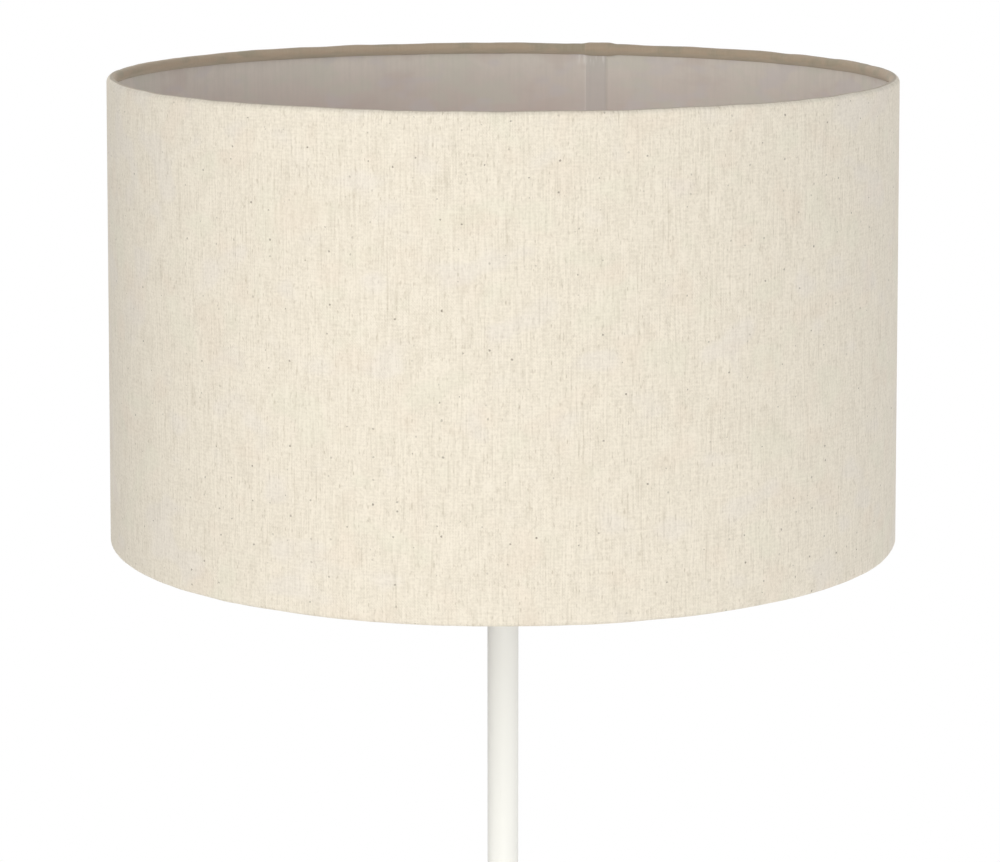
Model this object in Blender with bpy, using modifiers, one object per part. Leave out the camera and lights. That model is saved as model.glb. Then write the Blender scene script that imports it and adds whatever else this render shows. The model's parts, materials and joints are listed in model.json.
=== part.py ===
"""Tripod floor lamp: a linen drum shade on a slim painted stem, carried by three hinged wooden legs.

Run it with blender --background --python part.py, or from Blender's text editor. Units are metres and +Z
is up. The origin is the point of the floor straight under the stem. Each sub-part is one named object.
A moving sub-part hangs on an empty that stands on its joint's axis.
"""

import math

import bmesh
import bpy
from mathutils import Matrix, Vector

MM = 0.001

# ---- Overall sizes -------------------------------------------------------------------------------------
OVERALL_HEIGHT = 1.500
HINGE_HEIGHT = 0.860
STANCE_RADIUS = 0.226
LEG_AZIMUTHS = (math.radians(90), math.radians(210), math.radians(330))

# ---- Fits ----------------------------------------------------------------------------------------------
GAP = 0.3 * MM
RUNNING_GAP = 0.35 * MM

# ---- Shade ---------------------------------------------------------------------------------------------
SHADE_HEIGHT = 265 * MM
SHADE_TOP_RADIUS = 222 * MM
SHADE_BOTTOM_RADIUS = 225 * MM
FABRIC_THICKNESS = 0.7 * MM
LINER_THICKNESS = 0.5 * MM
SHADE_WIRE_RADIUS = 1.8 * MM
SPOKE_RADIUS = 1.6 * MM
FITTER_RISE = 35 * MM
FITTER_THICKNESS = 1.5 * MM
FITTER_WIDTH = 7 * MM

# ---- Lampholder and bulb -------------------------------------------------------------------------------
SKIRT_RADIUS = 19.5 * MM
SKIRT_HEIGHT = 26 * MM
SKIRT_WALL = 3.9 * MM
SHOULDER_WIDTH = 2.5 * MM
SHOULDER_THICKNESS = 2.5 * MM
HOLDER_CAP_HEIGHT = 23.5 * MM
HOLDER_CAP_WALL = 2.2 * MM
HOLDER_BOSS_HEIGHT = 8 * MM
INSERT_HEIGHT = 9 * MM
SCREW_SHELL_WALL = 0.6 * MM
CONTACT_HEIGHT = 2.1 * MM
SHADE_RING_HEIGHT = 7 * MM
SHADE_RING_WIDTH = 5.5 * MM
SWITCH_BAR_RADIUS = 2.5 * MM
SWITCH_BAR_REACH = 6 * MM
SWITCH_TRAVEL = 5 * MM
BULB_CAP_HEIGHT = 22 * MM
BULB_CAP_WALL = 0.6 * MM
BULB_CONTACT_HEIGHT = 1.2 * MM
BULB_INSULATOR_HEIGHT = 3 * MM
BULB_RADIUS = 30 * MM
BULB_LENGTH = 90 * MM
BULB_WALL = 0.8 * MM

# ---- Stem ----------------------------------------------------------------------------------------------
STEM_RADIUS = 9 * MM
STEM_WALL = 1.2 * MM
STEM_PLUG_LENGTH = 18 * MM
STEM_COLLAR_HEIGHT = 9 * MM
STEM_COLLAR_WIDTH = 5 * MM
NIPPLE_RADIUS = 5 * MM
NIPPLE_BORE_RADIUS = 3.7 * MM
LOCKNUT_RADIUS = 8 * MM
LOCKNUT_THICKNESS = 5 * MM
LEAD_RADIUS = 1.2 * MM

# ---- Hub -----------------------------------------------------------------------------------------------
HUB_RADIUS = 24 * MM
HUB_WALL = 5 * MM
HUB_ABOVE_HINGE = 24 * MM
HUB_BELOW_HINGE = 20 * MM
HUB_TOP_WALL = 6 * MM
HUB_EDGE = 3 * MM
COVER_THICKNESS = 3 * MM
COVER_SCREW_RADIUS = 1.5 * MM
COVER_SCREW_LENGTH = 10 * MM
GLAND_NECK_RADIUS = 6 * MM
GLAND_FLANGE_RADIUS = 9 * MM
GLAND_FLANGE_HEIGHT = 6 * MM
GLAND_BORE_RADIUS = 4 * MM
TERMINAL_WIDTH, TERMINAL_DEPTH, TERMINAL_HEIGHT = 17 * MM, 10 * MM, 13 * MM

# ---- Leg hinge -----------------------------------------------------------------------------------------
BOLT_RADIUS = 3 * MM
BOLT_HEAD_RADIUS = 6 * MM
BOLT_HEAD_HEIGHT = 3.6 * MM
TONGUE_THICKNESS = 8 * MM
KNUCKLE_RADIUS = 10 * MM
WASHER_THICKNESS = 1 * MM
WASHER_RADIUS = 8 * MM
LUG_THICKNESS = 5 * MM
KNOB_RADIUS = 11 * MM
KNOB_HEIGHT = 11 * MM
KNOB_NECK_RADIUS = 6.5 * MM
KNOB_NECK_HEIGHT = 3 * MM

# ---- Legs ----------------------------------------------------------------------------------------------
LEG_TOP_RADIUS = 12 * MM
LEG_END_RADIUS = 8 * MM
TENON_STEP = 2.5 * MM
FERRULE_START = 14 * MM
FERRULE_TOP_WALL = 6 * MM
FERRULE_LENGTH = 42 * MM
FERRULE_PROUD = 1 * MM
FERRULE_SCREW_RADIUS = 2 * MM
FERRULE_SCREW_HEAD_RADIUS = 3.5 * MM
FOOT_WALL = 2.5 * MM
FOOT_CUP_DEPTH = 16 * MM
SOLE_THICKNESS = 7 * MM

# ---- Roundness of the facetted solids ------------------------------------------------------------------
SHADE_STEPS = 40
BODY_STEPS = 20
SMALL_STEPS = 12

# ---- Heights and radii that follow from the sizes above ------------------------------------------------
ROLL_RADIUS = SHADE_WIRE_RADIUS + GAP + FABRIC_THICKNESS
SHADE_BOTTOM = OVERALL_HEIGHT - SHADE_HEIGHT
FITTER_Z = SHADE_BOTTOM + FITTER_RISE
SHOULDER_RADIUS = SKIRT_RADIUS + SHOULDER_WIDTH
FITTER_INNER_RADIUS = SKIRT_RADIUS + GAP + 0.5 * MM
FITTER_OUTER_RADIUS = FITTER_INNER_RADIUS + FITTER_WIDTH
SKIRT_BOTTOM = FITTER_Z - GAP - SHOULDER_THICKNESS
SKIRT_TOP = FITTER_Z + SKIRT_HEIGHT
HOLDER_CAP_TOP = SKIRT_BOTTOM - GAP
HOLDER_BOSS_TOP = HOLDER_CAP_TOP - HOLDER_CAP_HEIGHT + HOLDER_BOSS_HEIGHT
STEM_TOP = HOLDER_CAP_TOP - HOLDER_CAP_HEIGHT - GAP
HUB_TOP = HINGE_HEIGHT + HUB_ABOVE_HINGE
HUB_BOTTOM = HINGE_HEIGHT - HUB_BELOW_HINGE
STEM_BOTTOM = HUB_TOP + GAP
STEM_BORE_RADIUS = STEM_RADIUS - STEM_WALL
THREAD_HOLE_RADIUS = NIPPLE_RADIUS + RUNNING_GAP
CAVITY_TOP = HUB_TOP - HUB_TOP_WALL
CAVITY_RADIUS = HUB_RADIUS - HUB_WALL
FERRULE_RADIUS = LEG_TOP_RADIUS + FERRULE_PROUD
FOLD_CLEARANCE = 3 * MM
HINGE_RADIUS = HUB_RADIUS + FOLD_CLEARANCE + FERRULE_RADIUS
SPLAY = math.atan2(STANCE_RADIUS - HINGE_RADIUS, HINGE_HEIGHT)
LEG_REACH = HINGE_HEIGHT / math.cos(SPLAY)
LUG_INNER = TONGUE_THICKNESS / 2 + 2 * GAP + WASHER_THICKNESS
LUG_OUTER = LUG_INNER + LUG_THICKNESS
BOLT_HOLE_RADIUS = BOLT_RADIUS + RUNNING_GAP
FERRULE_END = FERRULE_START + FERRULE_LENGTH
LEG_END = LEG_REACH - SOLE_THICKNESS
SCREW_SHELL_RADIUS = SKIRT_RADIUS - SKIRT_WALL - 4 * GAP
SOCKET_RADIUS = SCREW_SHELL_RADIUS - SCREW_SHELL_WALL
BULB_CAP_RADIUS = SOCKET_RADIUS - RUNNING_GAP - 0.1 * MM
INSERT_TOP = SKIRT_BOTTOM + INSERT_HEIGHT
SWITCH_BAR_Z = HOLDER_CAP_TOP - SWITCH_BAR_RADIUS - 4 * MM

LAMP = bpy.data.collections.new("tripod_floor_lamp")
CUTTERS = bpy.data.collections.new("cutters")


# ---- Materials -----------------------------------------------------------------------------------------
def make_material(name, colour, roughness, metallic=0.0):
    """A Principled material of one colour."""
    material = bpy.data.materials.new(name)
    material.use_nodes = True
    shader = material.node_tree.nodes["Principled BSDF"]
    shader.inputs["Base Color"].default_value = (*colour, 1.0)
    shader.inputs["Roughness"].default_value = roughness
    shader.inputs["Metallic"].default_value = metallic
    return material


WHITE_PAINT = make_material("white_paint", (0.80, 0.79, 0.75), 0.42)
PAINTED_WOOD = make_material("painted_wood", (0.79, 0.78, 0.74), 0.50)
LINEN = make_material("linen", (0.78, 0.72, 0.60), 0.95)
LINER = make_material("shade_liner", (0.80, 0.78, 0.75), 0.45)
WHITE_PLASTIC = make_material("white_plastic", (0.82, 0.81, 0.78), 0.35)
PLATED_STEEL = make_material("plated_steel", (0.62, 0.62, 0.63), 0.30, 1.0)
BRASS = make_material("brass", (0.75, 0.60, 0.32), 0.30, 1.0)
OPAL_GLASS = make_material("opal_glass", (0.90, 0.90, 0.88), 0.20)
NYLON = make_material("nylon", (0.75, 0.74, 0.70), 0.55)
RUBBER = make_material("rubber", (0.30, 0.30, 0.30), 0.80)
BLACK_GLASS = make_material("black_glass", (0.03, 0.03, 0.04), 0.20)
BROWN_LEAD = make_material("brown_insulation", (0.24, 0.12, 0.06), 0.50)
BLUE_LEAD = make_material("blue_insulation", (0.06, 0.16, 0.42), 0.50)


# ---- Modelling tools -----------------------------------------------------------------------------------
def add_object(name, data, material=None, parent=None, cutter=False):
    """Links an object for this mesh or curve, under its parent empty if it has one."""
    obj = bpy.data.objects.new(name, data)
    (CUTTERS if cutter else LAMP).objects.link(obj)
    if material:
        data.materials.append(material)
    if parent:
        obj.parent = parent
    if cutter:
        obj.hide_render = True
        obj.display_type = "WIRE"
    return obj


def add_empty(name, location=(0, 0, 0), rotation=(0, 0, 0)):
    """An empty that carries the pieces of one body or one hinge."""
    empty = bpy.data.objects.new(name, None)
    empty.empty_display_size = 0.03
    empty.location = location
    empty.rotation_euler = rotation
    LAMP.objects.link(empty)
    return empty


def modifier(obj, kind, **settings):
    """Adds a modifier with these settings."""
    made = obj.modifiers.new(kind.title(), kind)
    for key, value in settings.items():
        setattr(made, key, value)
    return made


def cut(obj, *cutters):
    """Takes each cutter away from the object."""
    for cutter in cutters:
        modifier(obj, "BOOLEAN", operation="DIFFERENCE", object=cutter)


def join(obj, *others):
    """Adds each helper solid to the object."""
    for other in others:
        modifier(obj, "BOOLEAN", operation="UNION", object=other)


def turned(name, profile, material=None, steps=BODY_STEPS, closed=False, parent=None, cutter=False):
    """A body of revolution about Z. The profile's (radius, height) points run down the outer side.

    An open profile starts and ends on the axis. A closed one makes a ring or a hollow piece.
    """
    mesh = bpy.data.meshes.new(name)
    edges = [(i, i + 1) for i in range(len(profile) - 1)]
    if closed:
        edges.append((len(profile) - 1, 0))
    mesh.from_pydata([(radius, 0, height) for radius, height in profile], edges, [])
    obj = add_object(name, mesh, material, parent, cutter)
    modifier(
        obj, "SCREW", axis="Z", angle=math.tau, steps=steps, render_steps=steps,
        use_merge_vertices=True, merge_threshold=0.00001, use_smooth_shade=not cutter,
    )
    return obj


def cylinder(
    name, radius, bottom, top, steps=SMALL_STEPS, axis="Z", parent=None, cutter=True, material=None
):
    """A cylinder along one axis of its parent, from bottom to top along that axis."""
    turn = {"X": Matrix.Rotation(math.pi / 2, 4, "Y"), "Y": Matrix.Rotation(-math.pi / 2, 4, "X")}
    mesh = bpy.data.meshes.new(name)
    shape = bmesh.new()
    middle = Matrix.Translation((0, 0, (bottom + top) / 2))
    bmesh.ops.create_cone(
        shape, cap_ends=True, segments=steps, radius1=radius, radius2=radius, depth=top - bottom,
        matrix=turn.get(axis, Matrix.Identity(4)) @ middle,
    )
    shape.to_mesh(mesh)
    shape.free()
    return add_object(name, mesh, material, parent, cutter)


def box(name, low, high, material=None, parent=None, cutter=False):
    """A box between two corners."""
    low, high = Vector(low), Vector(high)
    mesh = bpy.data.meshes.new(name)
    shape = bmesh.new()
    size = high - low
    place = Matrix.Translation((low + high) / 2) @ Matrix.Diagonal((*size, 1.0))
    bmesh.ops.create_cube(shape, size=1.0, matrix=place)
    shape.to_mesh(mesh)
    shape.free()
    return add_object(name, mesh, material, parent, cutter)


def flat_outline(name, points, thickness, parent=None, cutter=True):
    """A plate in its parent's XZ plane, centred on it, made from a filled 2D outline."""
    curve = bpy.data.curves.new(name, "CURVE")
    curve.dimensions = "2D"
    curve.fill_mode = "BOTH"
    curve.extrude = thickness / 2
    spline = curve.splines.new("POLY")
    spline.points.add(len(points) - 1)
    for point, (x, z) in zip(spline.points, points):
        point.co = (x, z, 0, 1)
    spline.use_cyclic_u = True
    outline = add_object(name + "_outline", curve, cutter=True)
    outline.rotation_euler = (math.pi / 2, 0, 0)
    bpy.context.view_layer.update()
    graph = bpy.context.evaluated_depsgraph_get()
    mesh = bpy.data.meshes.new_from_object(outline.evaluated_get(graph))
    shape = bmesh.new()
    shape.from_mesh(mesh)
    bmesh.ops.remove_doubles(shape, verts=shape.verts, dist=0.00001)
    bmesh.ops.dissolve_limit(shape, angle_limit=math.radians(1), verts=shape.verts, edges=shape.edges)
    bmesh.ops.recalc_face_normals(shape, faces=shape.faces)
    shape.transform(outline.matrix_world)
    shape.to_mesh(mesh)
    shape.free()
    mesh.name = name
    bpy.data.objects.remove(outline)
    return add_object(name, mesh, None, parent, cutter)


def arc(centre, radius, start, end, steps):
    """Points on an arc from one angle to the other, in degrees, both ends included."""
    angles = [math.radians(start + (end - start) * i / steps) for i in range(steps + 1)]
    return [(centre[0] + radius * math.cos(a), centre[1] + radius * math.sin(a)) for a in angles]


def rounded_route(knots, reach):
    """The straight runs between the knots, with each corner rounded off over this reach to both sides."""
    points = [Vector(knot) for knot in knots]
    route = [points[0]]
    for before, corner, after in zip(points, points[1:], points[2:]):
        towards, away = before - corner, after - corner
        start = corner + towards.normalized() * min(reach, 0.45 * towards.length)
        end = corner + away.normalized() * min(reach, 0.45 * away.length)
        route += [start, 0.25 * start + 0.5 * corner + 0.25 * end, end]
    return [*route, points[-1]]


def round_wire(name, points, radius, material, parent=None, cyclic=False):
    """A round wire along points, as a bevelled curve with filled caps."""
    curve = bpy.data.curves.new(name, "CURVE")
    curve.dimensions = "3D"
    curve.bevel_depth = radius
    curve.bevel_resolution = 2
    curve.use_fill_caps = True
    spline = curve.splines.new("POLY")
    spline.points.add(len(points) - 1)
    for point, place in zip(spline.points, points):
        point.co = (*place, 1)
    spline.use_cyclic_u = cyclic
    return add_object(name, curve, material, parent)


# ---- Shade ---------------------------------------------------------------------------------------------
def wall_radius(z):
    """The fabric's outer radius at a height between the two rolled edges."""
    share = (z - SHADE_BOTTOM) / SHADE_HEIGHT
    return SHADE_BOTTOM_RADIUS + (SHADE_TOP_RADIUS - SHADE_BOTTOM_RADIUS) * share


def shade_wire_centres():
    """(radius, height) of the middle of the top and of the bottom wire."""
    top = (SHADE_TOP_RADIUS - ROLL_RADIUS, OVERALL_HEIGHT - ROLL_RADIUS)
    bottom = (SHADE_BOTTOM_RADIUS - ROLL_RADIUS, SHADE_BOTTOM + ROLL_RADIUS)
    return top, bottom


def make_shade_covering(shade):
    """The linen, rolled over the wire at both edges, and the stiff liner that it is glued to."""
    top, bottom = shade_wire_centres()
    outside = arc(top, ROLL_RADIUS, 270, 0, 6) + arc(bottom, ROLL_RADIUS, 0, -180, 4)
    fabric = turned("shade_fabric", outside, LINEN, SHADE_STEPS, parent=shade)
    modifier(fabric, "SOLIDIFY", thickness=FABRIC_THICKNESS, offset=-1)

    behind = FABRIC_THICKNESS + GAP
    high = OVERALL_HEIGHT - 2 * ROLL_RADIUS - GAP
    low = SHADE_BOTTOM + 2 * ROLL_RADIUS + GAP
    line = [(wall_radius(high) - behind, high), (wall_radius(low) - behind, low)]
    liner = turned("shade_liner", line, LINER, SHADE_STEPS, parent=shade)
    modifier(liner, "SOLIDIFY", thickness=LINER_THICKNESS, offset=-1)


def make_shade_wires(shade):
    """The two edge wires, the three spokes and the flat ring that sits on the lampholder."""
    for name, (radius, height) in zip(("shade_top_wire", "shade_bottom_wire"), shade_wire_centres()):
        angles = [math.tau * i / SHADE_STEPS for i in range(SHADE_STEPS)]
        circle = [(radius * math.cos(a), radius * math.sin(a), height) for a in angles]
        round_wire(name, circle, SHADE_WIRE_RADIUS, PLATED_STEEL, shade, cyclic=True)

    _, (_, wire_height) = shade_wire_centres()
    outer_z = wire_height + SHADE_WIRE_RADIUS + GAP + SPOKE_RADIUS
    flat = math.cos(math.pi / SHADE_STEPS)
    outer_r = flat * wall_radius(outer_z) - FABRIC_THICKNESS - LINER_THICKNESS - 3 * GAP
    inner_z = FITTER_Z - GAP - SPOKE_RADIUS
    inner_r = SHOULDER_RADIUS + 4 * GAP
    bend = 12 * MM
    run = [
        (outer_r, outer_z),
        (outer_r - bend, outer_z),
        (outer_r - 2 * bend, outer_z + (inner_z - outer_z) * 0.05),
        (inner_r + 3 * bend, inner_z - (inner_z - outer_z) * 0.10),
        (inner_r + 1.5 * bend, inner_z),
        (inner_r, inner_z),
    ]
    for number, azimuth in enumerate(LEG_AZIMUTHS, 1):
        route = rounded_route([(r, 0, z) for r, z in run], 6 * MM)
        spoke = round_wire(f"fitter_spoke_{number}", route, SPOKE_RADIUS, PLATED_STEEL, shade)
        spoke.rotation_euler = (0, 0, azimuth)
    ring = [
        (FITTER_OUTER_RADIUS, FITTER_Z + FITTER_THICKNESS),
        (FITTER_OUTER_RADIUS, FITTER_Z),
        (FITTER_INNER_RADIUS, FITTER_Z),
        (FITTER_INNER_RADIUS, FITTER_Z + FITTER_THICKNESS),
    ]
    turned("fitter_ring", ring, PLATED_STEEL, BODY_STEPS, closed=True, parent=shade)


# ---- Lampholder ----------------------------------------------------------------------------------------
def make_lampholder(stand):
    """The cap on the stem, the threaded skirt, the insulating insert, the screw shell and its contact."""
    cap_radius = SKIRT_RADIUS - 0.5 * MM
    foot_radius = STEM_RADIUS + 2 * MM
    foot = HOLDER_CAP_TOP - HOLDER_CAP_HEIGHT
    boss = HOLDER_BOSS_TOP
    cap = [
        (cap_radius, HOLDER_CAP_TOP),
        (cap_radius, HOLDER_CAP_TOP - 0.45 * HOLDER_CAP_HEIGHT),
        (cap_radius - 0.3 * (cap_radius - foot_radius), HOLDER_CAP_TOP - 0.7 * HOLDER_CAP_HEIGHT),
        (foot_radius, foot + 1 * MM),
        (foot_radius - 1 * MM, foot),
        (THREAD_HOLE_RADIUS, foot),
        (THREAD_HOLE_RADIUS, boss),
        (THREAD_HOLE_RADIUS + 2 * MM, boss),
        (cap_radius - HOLDER_CAP_WALL, HOLDER_CAP_TOP - 0.5 * HOLDER_CAP_HEIGHT),
        (cap_radius - HOLDER_CAP_WALL, HOLDER_CAP_TOP),
    ]
    holder_cap = turned("holder_cap", cap, WHITE_PLASTIC, closed=True, parent=stand)
    window = cylinder(
        "switch_bar_hole", SWITCH_BAR_RADIUS + RUNNING_GAP, -1.5 * SKIRT_RADIUS, 1.5 * SKIRT_RADIUS, axis="Y"
    )
    window.location.z = SWITCH_BAR_Z
    cut(holder_cap, window)

    skirt_bore = SKIRT_RADIUS - SKIRT_WALL
    lip_bore = SOCKET_RADIUS + GAP
    skirt = [
        (SKIRT_RADIUS - 0.8 * MM, SKIRT_TOP),
        (SKIRT_RADIUS, SKIRT_TOP - 0.8 * MM),
        (SKIRT_RADIUS, FITTER_Z - GAP),
        (SHOULDER_RADIUS, FITTER_Z - GAP),
        (SHOULDER_RADIUS, SKIRT_BOTTOM),
        (skirt_bore, SKIRT_BOTTOM),
        (skirt_bore, SKIRT_TOP - 2 * MM),
        (lip_bore, SKIRT_TOP - 2 * MM),
        (lip_bore, SKIRT_TOP),
    ]
    turned("holder_skirt", skirt, WHITE_PLASTIC, closed=True, parent=stand)

    insert_radius = skirt_bore - GAP
    insert = [
        (0, INSERT_TOP),
        (insert_radius, INSERT_TOP),
        (insert_radius, SKIRT_BOTTOM),
        (0, SKIRT_BOTTOM),
    ]
    block = turned("holder_insert", insert, WHITE_PLASTIC, parent=stand)
    for side in (-1, 1):
        hole = cylinder(
            f"lead_hole_{side}", LEAD_RADIUS + RUNNING_GAP, SKIRT_BOTTOM - 2 * MM, SKIRT_BOTTOM + 5 * MM
        )
        hole.location.x = side * lead_spread()
        cut(block, hole)

    shell_bottom, shell_top = INSERT_TOP + GAP, SKIRT_TOP - 2 * MM - GAP
    shell = [
        (SCREW_SHELL_RADIUS, shell_top),
        (SCREW_SHELL_RADIUS, shell_bottom),
        (SOCKET_RADIUS, shell_bottom),
        (SOCKET_RADIUS, shell_top),
    ]
    turned("screw_shell", shell, BRASS, closed=True, parent=stand)
    contact_bottom = INSERT_TOP + GAP
    contact = [
        (0, contact_bottom + CONTACT_HEIGHT),
        (2 * MM, contact_bottom + CONTACT_HEIGHT),
        (3.5 * MM, contact_bottom),
        (0, contact_bottom),
    ]
    turned("centre_contact", contact, BRASS, SMALL_STEPS, parent=stand)


def lead_spread():
    """How far from the axis each lead enters the lampholder's insert."""
    return SWITCH_BAR_RADIUS + LEAD_RADIUS + 3.3 * MM


def make_switch_bar(parent):
    """The push-through bar of the lampholder's switch, standing out at one side."""
    half = SKIRT_RADIUS + SWITCH_BAR_REACH
    dome = 1 * MM
    profile = [
        (0, half),
        (SWITCH_BAR_RADIUS - dome, half),
        (SWITCH_BAR_RADIUS, half - dome),
        (SWITCH_BAR_RADIUS, dome - half),
        (SWITCH_BAR_RADIUS - dome, -half),
        (0, -half),
    ]
    bar = turned("switch_bar", profile, WHITE_PLASTIC, SMALL_STEPS, parent=parent)
    bar.rotation_euler = (math.pi / 2, 0, 0)


def make_shade_ring(parent):
    """The threaded ring that clamps the shade's fitter ring on the skirt's shoulder."""
    bottom = FITTER_Z + FITTER_THICKNESS + GAP
    inner = SKIRT_RADIUS + RUNNING_GAP
    outer = inner + SHADE_RING_WIDTH
    edge = 1 * MM
    ring = [
        (outer - edge, bottom + SHADE_RING_HEIGHT),
        (outer, bottom + SHADE_RING_HEIGHT - edge),
        (outer, bottom + edge),
        (outer - edge, bottom),
        (inner, bottom),
        (inner, bottom + SHADE_RING_HEIGHT),
    ]
    turned("shade_clamp_ring", ring, WHITE_PLASTIC, closed=True, parent=parent)


# ---- Bulb ----------------------------------------------------------------------------------------------
def make_bulb(parent):
    """The bulb: its opal globe, its screw cap, the glass insulator under it and the end contact."""
    contact_bottom = INSERT_TOP + GAP + CONTACT_HEIGHT + GAP
    contact_top = contact_bottom + BULB_CONTACT_HEIGHT
    insulator_bottom = contact_top + GAP
    insulator_top = insulator_bottom + BULB_INSULATOR_HEIGHT
    cap_bottom = insulator_top + GAP
    cap_top = cap_bottom + BULB_CAP_HEIGHT
    contact = [(0, contact_top), (4.5 * MM, contact_top), (4 * MM, contact_bottom), (0, contact_bottom)]
    turned("bulb_contact", contact, PLATED_STEEL, SMALL_STEPS, parent=parent)
    insulator = [
        (0, insulator_top),
        (BULB_CAP_RADIUS - 2.5 * MM, insulator_top),
        (5 * MM, insulator_bottom),
        (0, insulator_bottom),
    ]
    turned("bulb_insulator", insulator, BLACK_GLASS, SMALL_STEPS, parent=parent)
    inner = BULB_CAP_RADIUS - BULB_CAP_WALL
    cap = [
        (BULB_CAP_RADIUS, cap_top),
        (BULB_CAP_RADIUS, cap_bottom + 2 * MM),
        (BULB_CAP_RADIUS - 2 * MM, cap_bottom),
        (0, cap_bottom),
        (0, cap_bottom + BULB_CAP_WALL),
        (inner - 2 * MM, cap_bottom + BULB_CAP_WALL),
        (inner, cap_bottom + 2 * MM + BULB_CAP_WALL),
        (inner, cap_top),
    ]
    open_cup("bulb_cap", cap, BRASS, parent)

    neck_radius = inner - GAP
    neck_bottom = cap_top - 6 * MM
    centre = cap_top + BULB_LENGTH - 2 * MM - BULB_RADIUS
    blend_start = cap_top + 4 * MM
    ball = arc((0, centre), BULB_RADIUS, 90, -36, 7)
    (blend_radius, blend_top) = ball[-1]
    middle = (
        neck_radius + 0.32 * (blend_radius - neck_radius),
        blend_start + 0.55 * (blend_top - blend_start),
    )
    outside = [(0, ball[0][1]), *ball[1:], middle, (neck_radius, blend_start), (neck_radius, neck_bottom)]
    globe = turned("bulb_globe", outside, OPAL_GLASS, parent=parent)
    modifier(globe, "SOLIDIFY", thickness=BULB_WALL, offset=-1)


def open_cup(name, profile, material, parent):
    """A cup whose closed end crosses the axis, turned from a profile that starts and ends at its rim."""
    mesh = bpy.data.meshes.new(name)
    rim = (len(profile) - 1, 0)
    axis = [i for i, (radius, _) in enumerate(profile) if radius == 0]
    edges = [(i, i + 1) for i in range(len(profile) - 1) if not (i == axis[0] and i + 1 == axis[1])]
    mesh.from_pydata([(radius, 0, height) for radius, height in profile], [*edges, rim], [])
    obj = add_object(name, mesh, material, parent)
    modifier(
        obj, "SCREW", axis="Z", angle=math.tau, steps=BODY_STEPS, render_steps=BODY_STEPS,
        use_merge_vertices=True, merge_threshold=0.00001, use_smooth_shade=True,
    )
    return obj


# ---- Stem ----------------------------------------------------------------------------------------------
def sleeve(name, outer, inner, bottom, top, material, steps=BODY_STEPS, parent=None):
    """A plain tube about Z."""
    ring = [(outer, top), (outer, bottom), (inner, bottom), (inner, top)]
    return turned(name, ring, material, steps, closed=True, parent=parent)


def make_stem(stand):
    """The stem tube with its two threaded plugs, its hollow nipples and the collar at its foot."""
    sleeve("stem_tube", STEM_RADIUS, STEM_BORE_RADIUS, STEM_BOTTOM, STEM_TOP, WHITE_PAINT, parent=stand)
    plug_radius = STEM_BORE_RADIUS - GAP
    for name, low in (("stem_lower_plug", STEM_BOTTOM), ("stem_upper_plug", STEM_TOP - STEM_PLUG_LENGTH)):
        high = low + STEM_PLUG_LENGTH
        sleeve(name, plug_radius, THREAD_HOLE_RADIUS, low, high, PLATED_STEEL, SMALL_STEPS, stand)
    grip = 2 / 3 * STEM_PLUG_LENGTH
    nut_bottom = CAVITY_TOP - GAP - LOCKNUT_THICKNESS
    sleeve(
        "hub_nipple", NIPPLE_RADIUS, NIPPLE_BORE_RADIUS, nut_bottom - 1.5 * MM, STEM_BOTTOM + grip,
        PLATED_STEEL, SMALL_STEPS, stand,
    )
    sleeve(
        "holder_nipple", NIPPLE_RADIUS, NIPPLE_BORE_RADIUS, STEM_TOP - grip, HOLDER_BOSS_TOP - 1 * MM,
        PLATED_STEEL, SMALL_STEPS, stand,
    )
    nut = cylinder(
        "hub_locknut", LOCKNUT_RADIUS, nut_bottom, nut_bottom + LOCKNUT_THICKNESS,
        steps=6, parent=stand, cutter=False, material=PLATED_STEEL,
    )
    past = 5 * MM
    thread = cylinder("locknut_thread", THREAD_HOLE_RADIUS, nut_bottom - past, CAVITY_TOP + past, steps=24)
    cut(nut, thread)

    inner = STEM_RADIUS + RUNNING_GAP
    outer = inner + STEM_COLLAR_WIDTH
    low, high = HUB_TOP + GAP, HUB_TOP + GAP + STEM_COLLAR_HEIGHT
    collar = [
        (inner + 1.2 * MM, high),
        *arc((outer - 3 * MM, high - 4 * MM), 3 * MM, 60, 0, 3),
        (outer, low),
        (inner, low),
        (inner, high),
    ]
    turned("stem_collar", collar, WHITE_PAINT, closed=True, parent=stand)


def make_leads(stand):
    """The two insulated leads, from the hub's terminal block up through the stem to the lampholder."""
    in_stem = LEAD_RADIUS + 0.4 * MM
    block_top = terminal_block_top()
    for name, side, material in (("live_lead", 1, BROWN_LEAD), ("neutral_lead", -1, BLUE_LEAD)):
        knots = [
            (terminal_pitch(), block_top - 4 * MM),
            (terminal_pitch(), block_top + 1.5 * MM),
            (in_stem, CAVITY_TOP - LOCKNUT_THICKNESS - 2 * MM),
            (in_stem, HOLDER_BOSS_TOP + 0.5 * MM),
            (lead_spread(), SWITCH_BAR_Z - 0.5 * MM),
            (lead_spread(), SKIRT_BOTTOM + 4 * MM),
        ]
        route = rounded_route([(side * x, 0, z) for x, z in knots], 3 * MM)
        round_wire(name, route, LEAD_RADIUS, material, stand)


# ---- Hub -----------------------------------------------------------------------------------------------
def terminal_pitch():
    """How far each way of the terminal block stands from the axis."""
    return TERMINAL_WIDTH / 4


def terminal_block_top():
    """The terminal block hangs in the middle of the hub's cavity, under the lock nut."""
    return CAVITY_TOP - LOCKNUT_THICKNESS - 9 * MM


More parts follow.
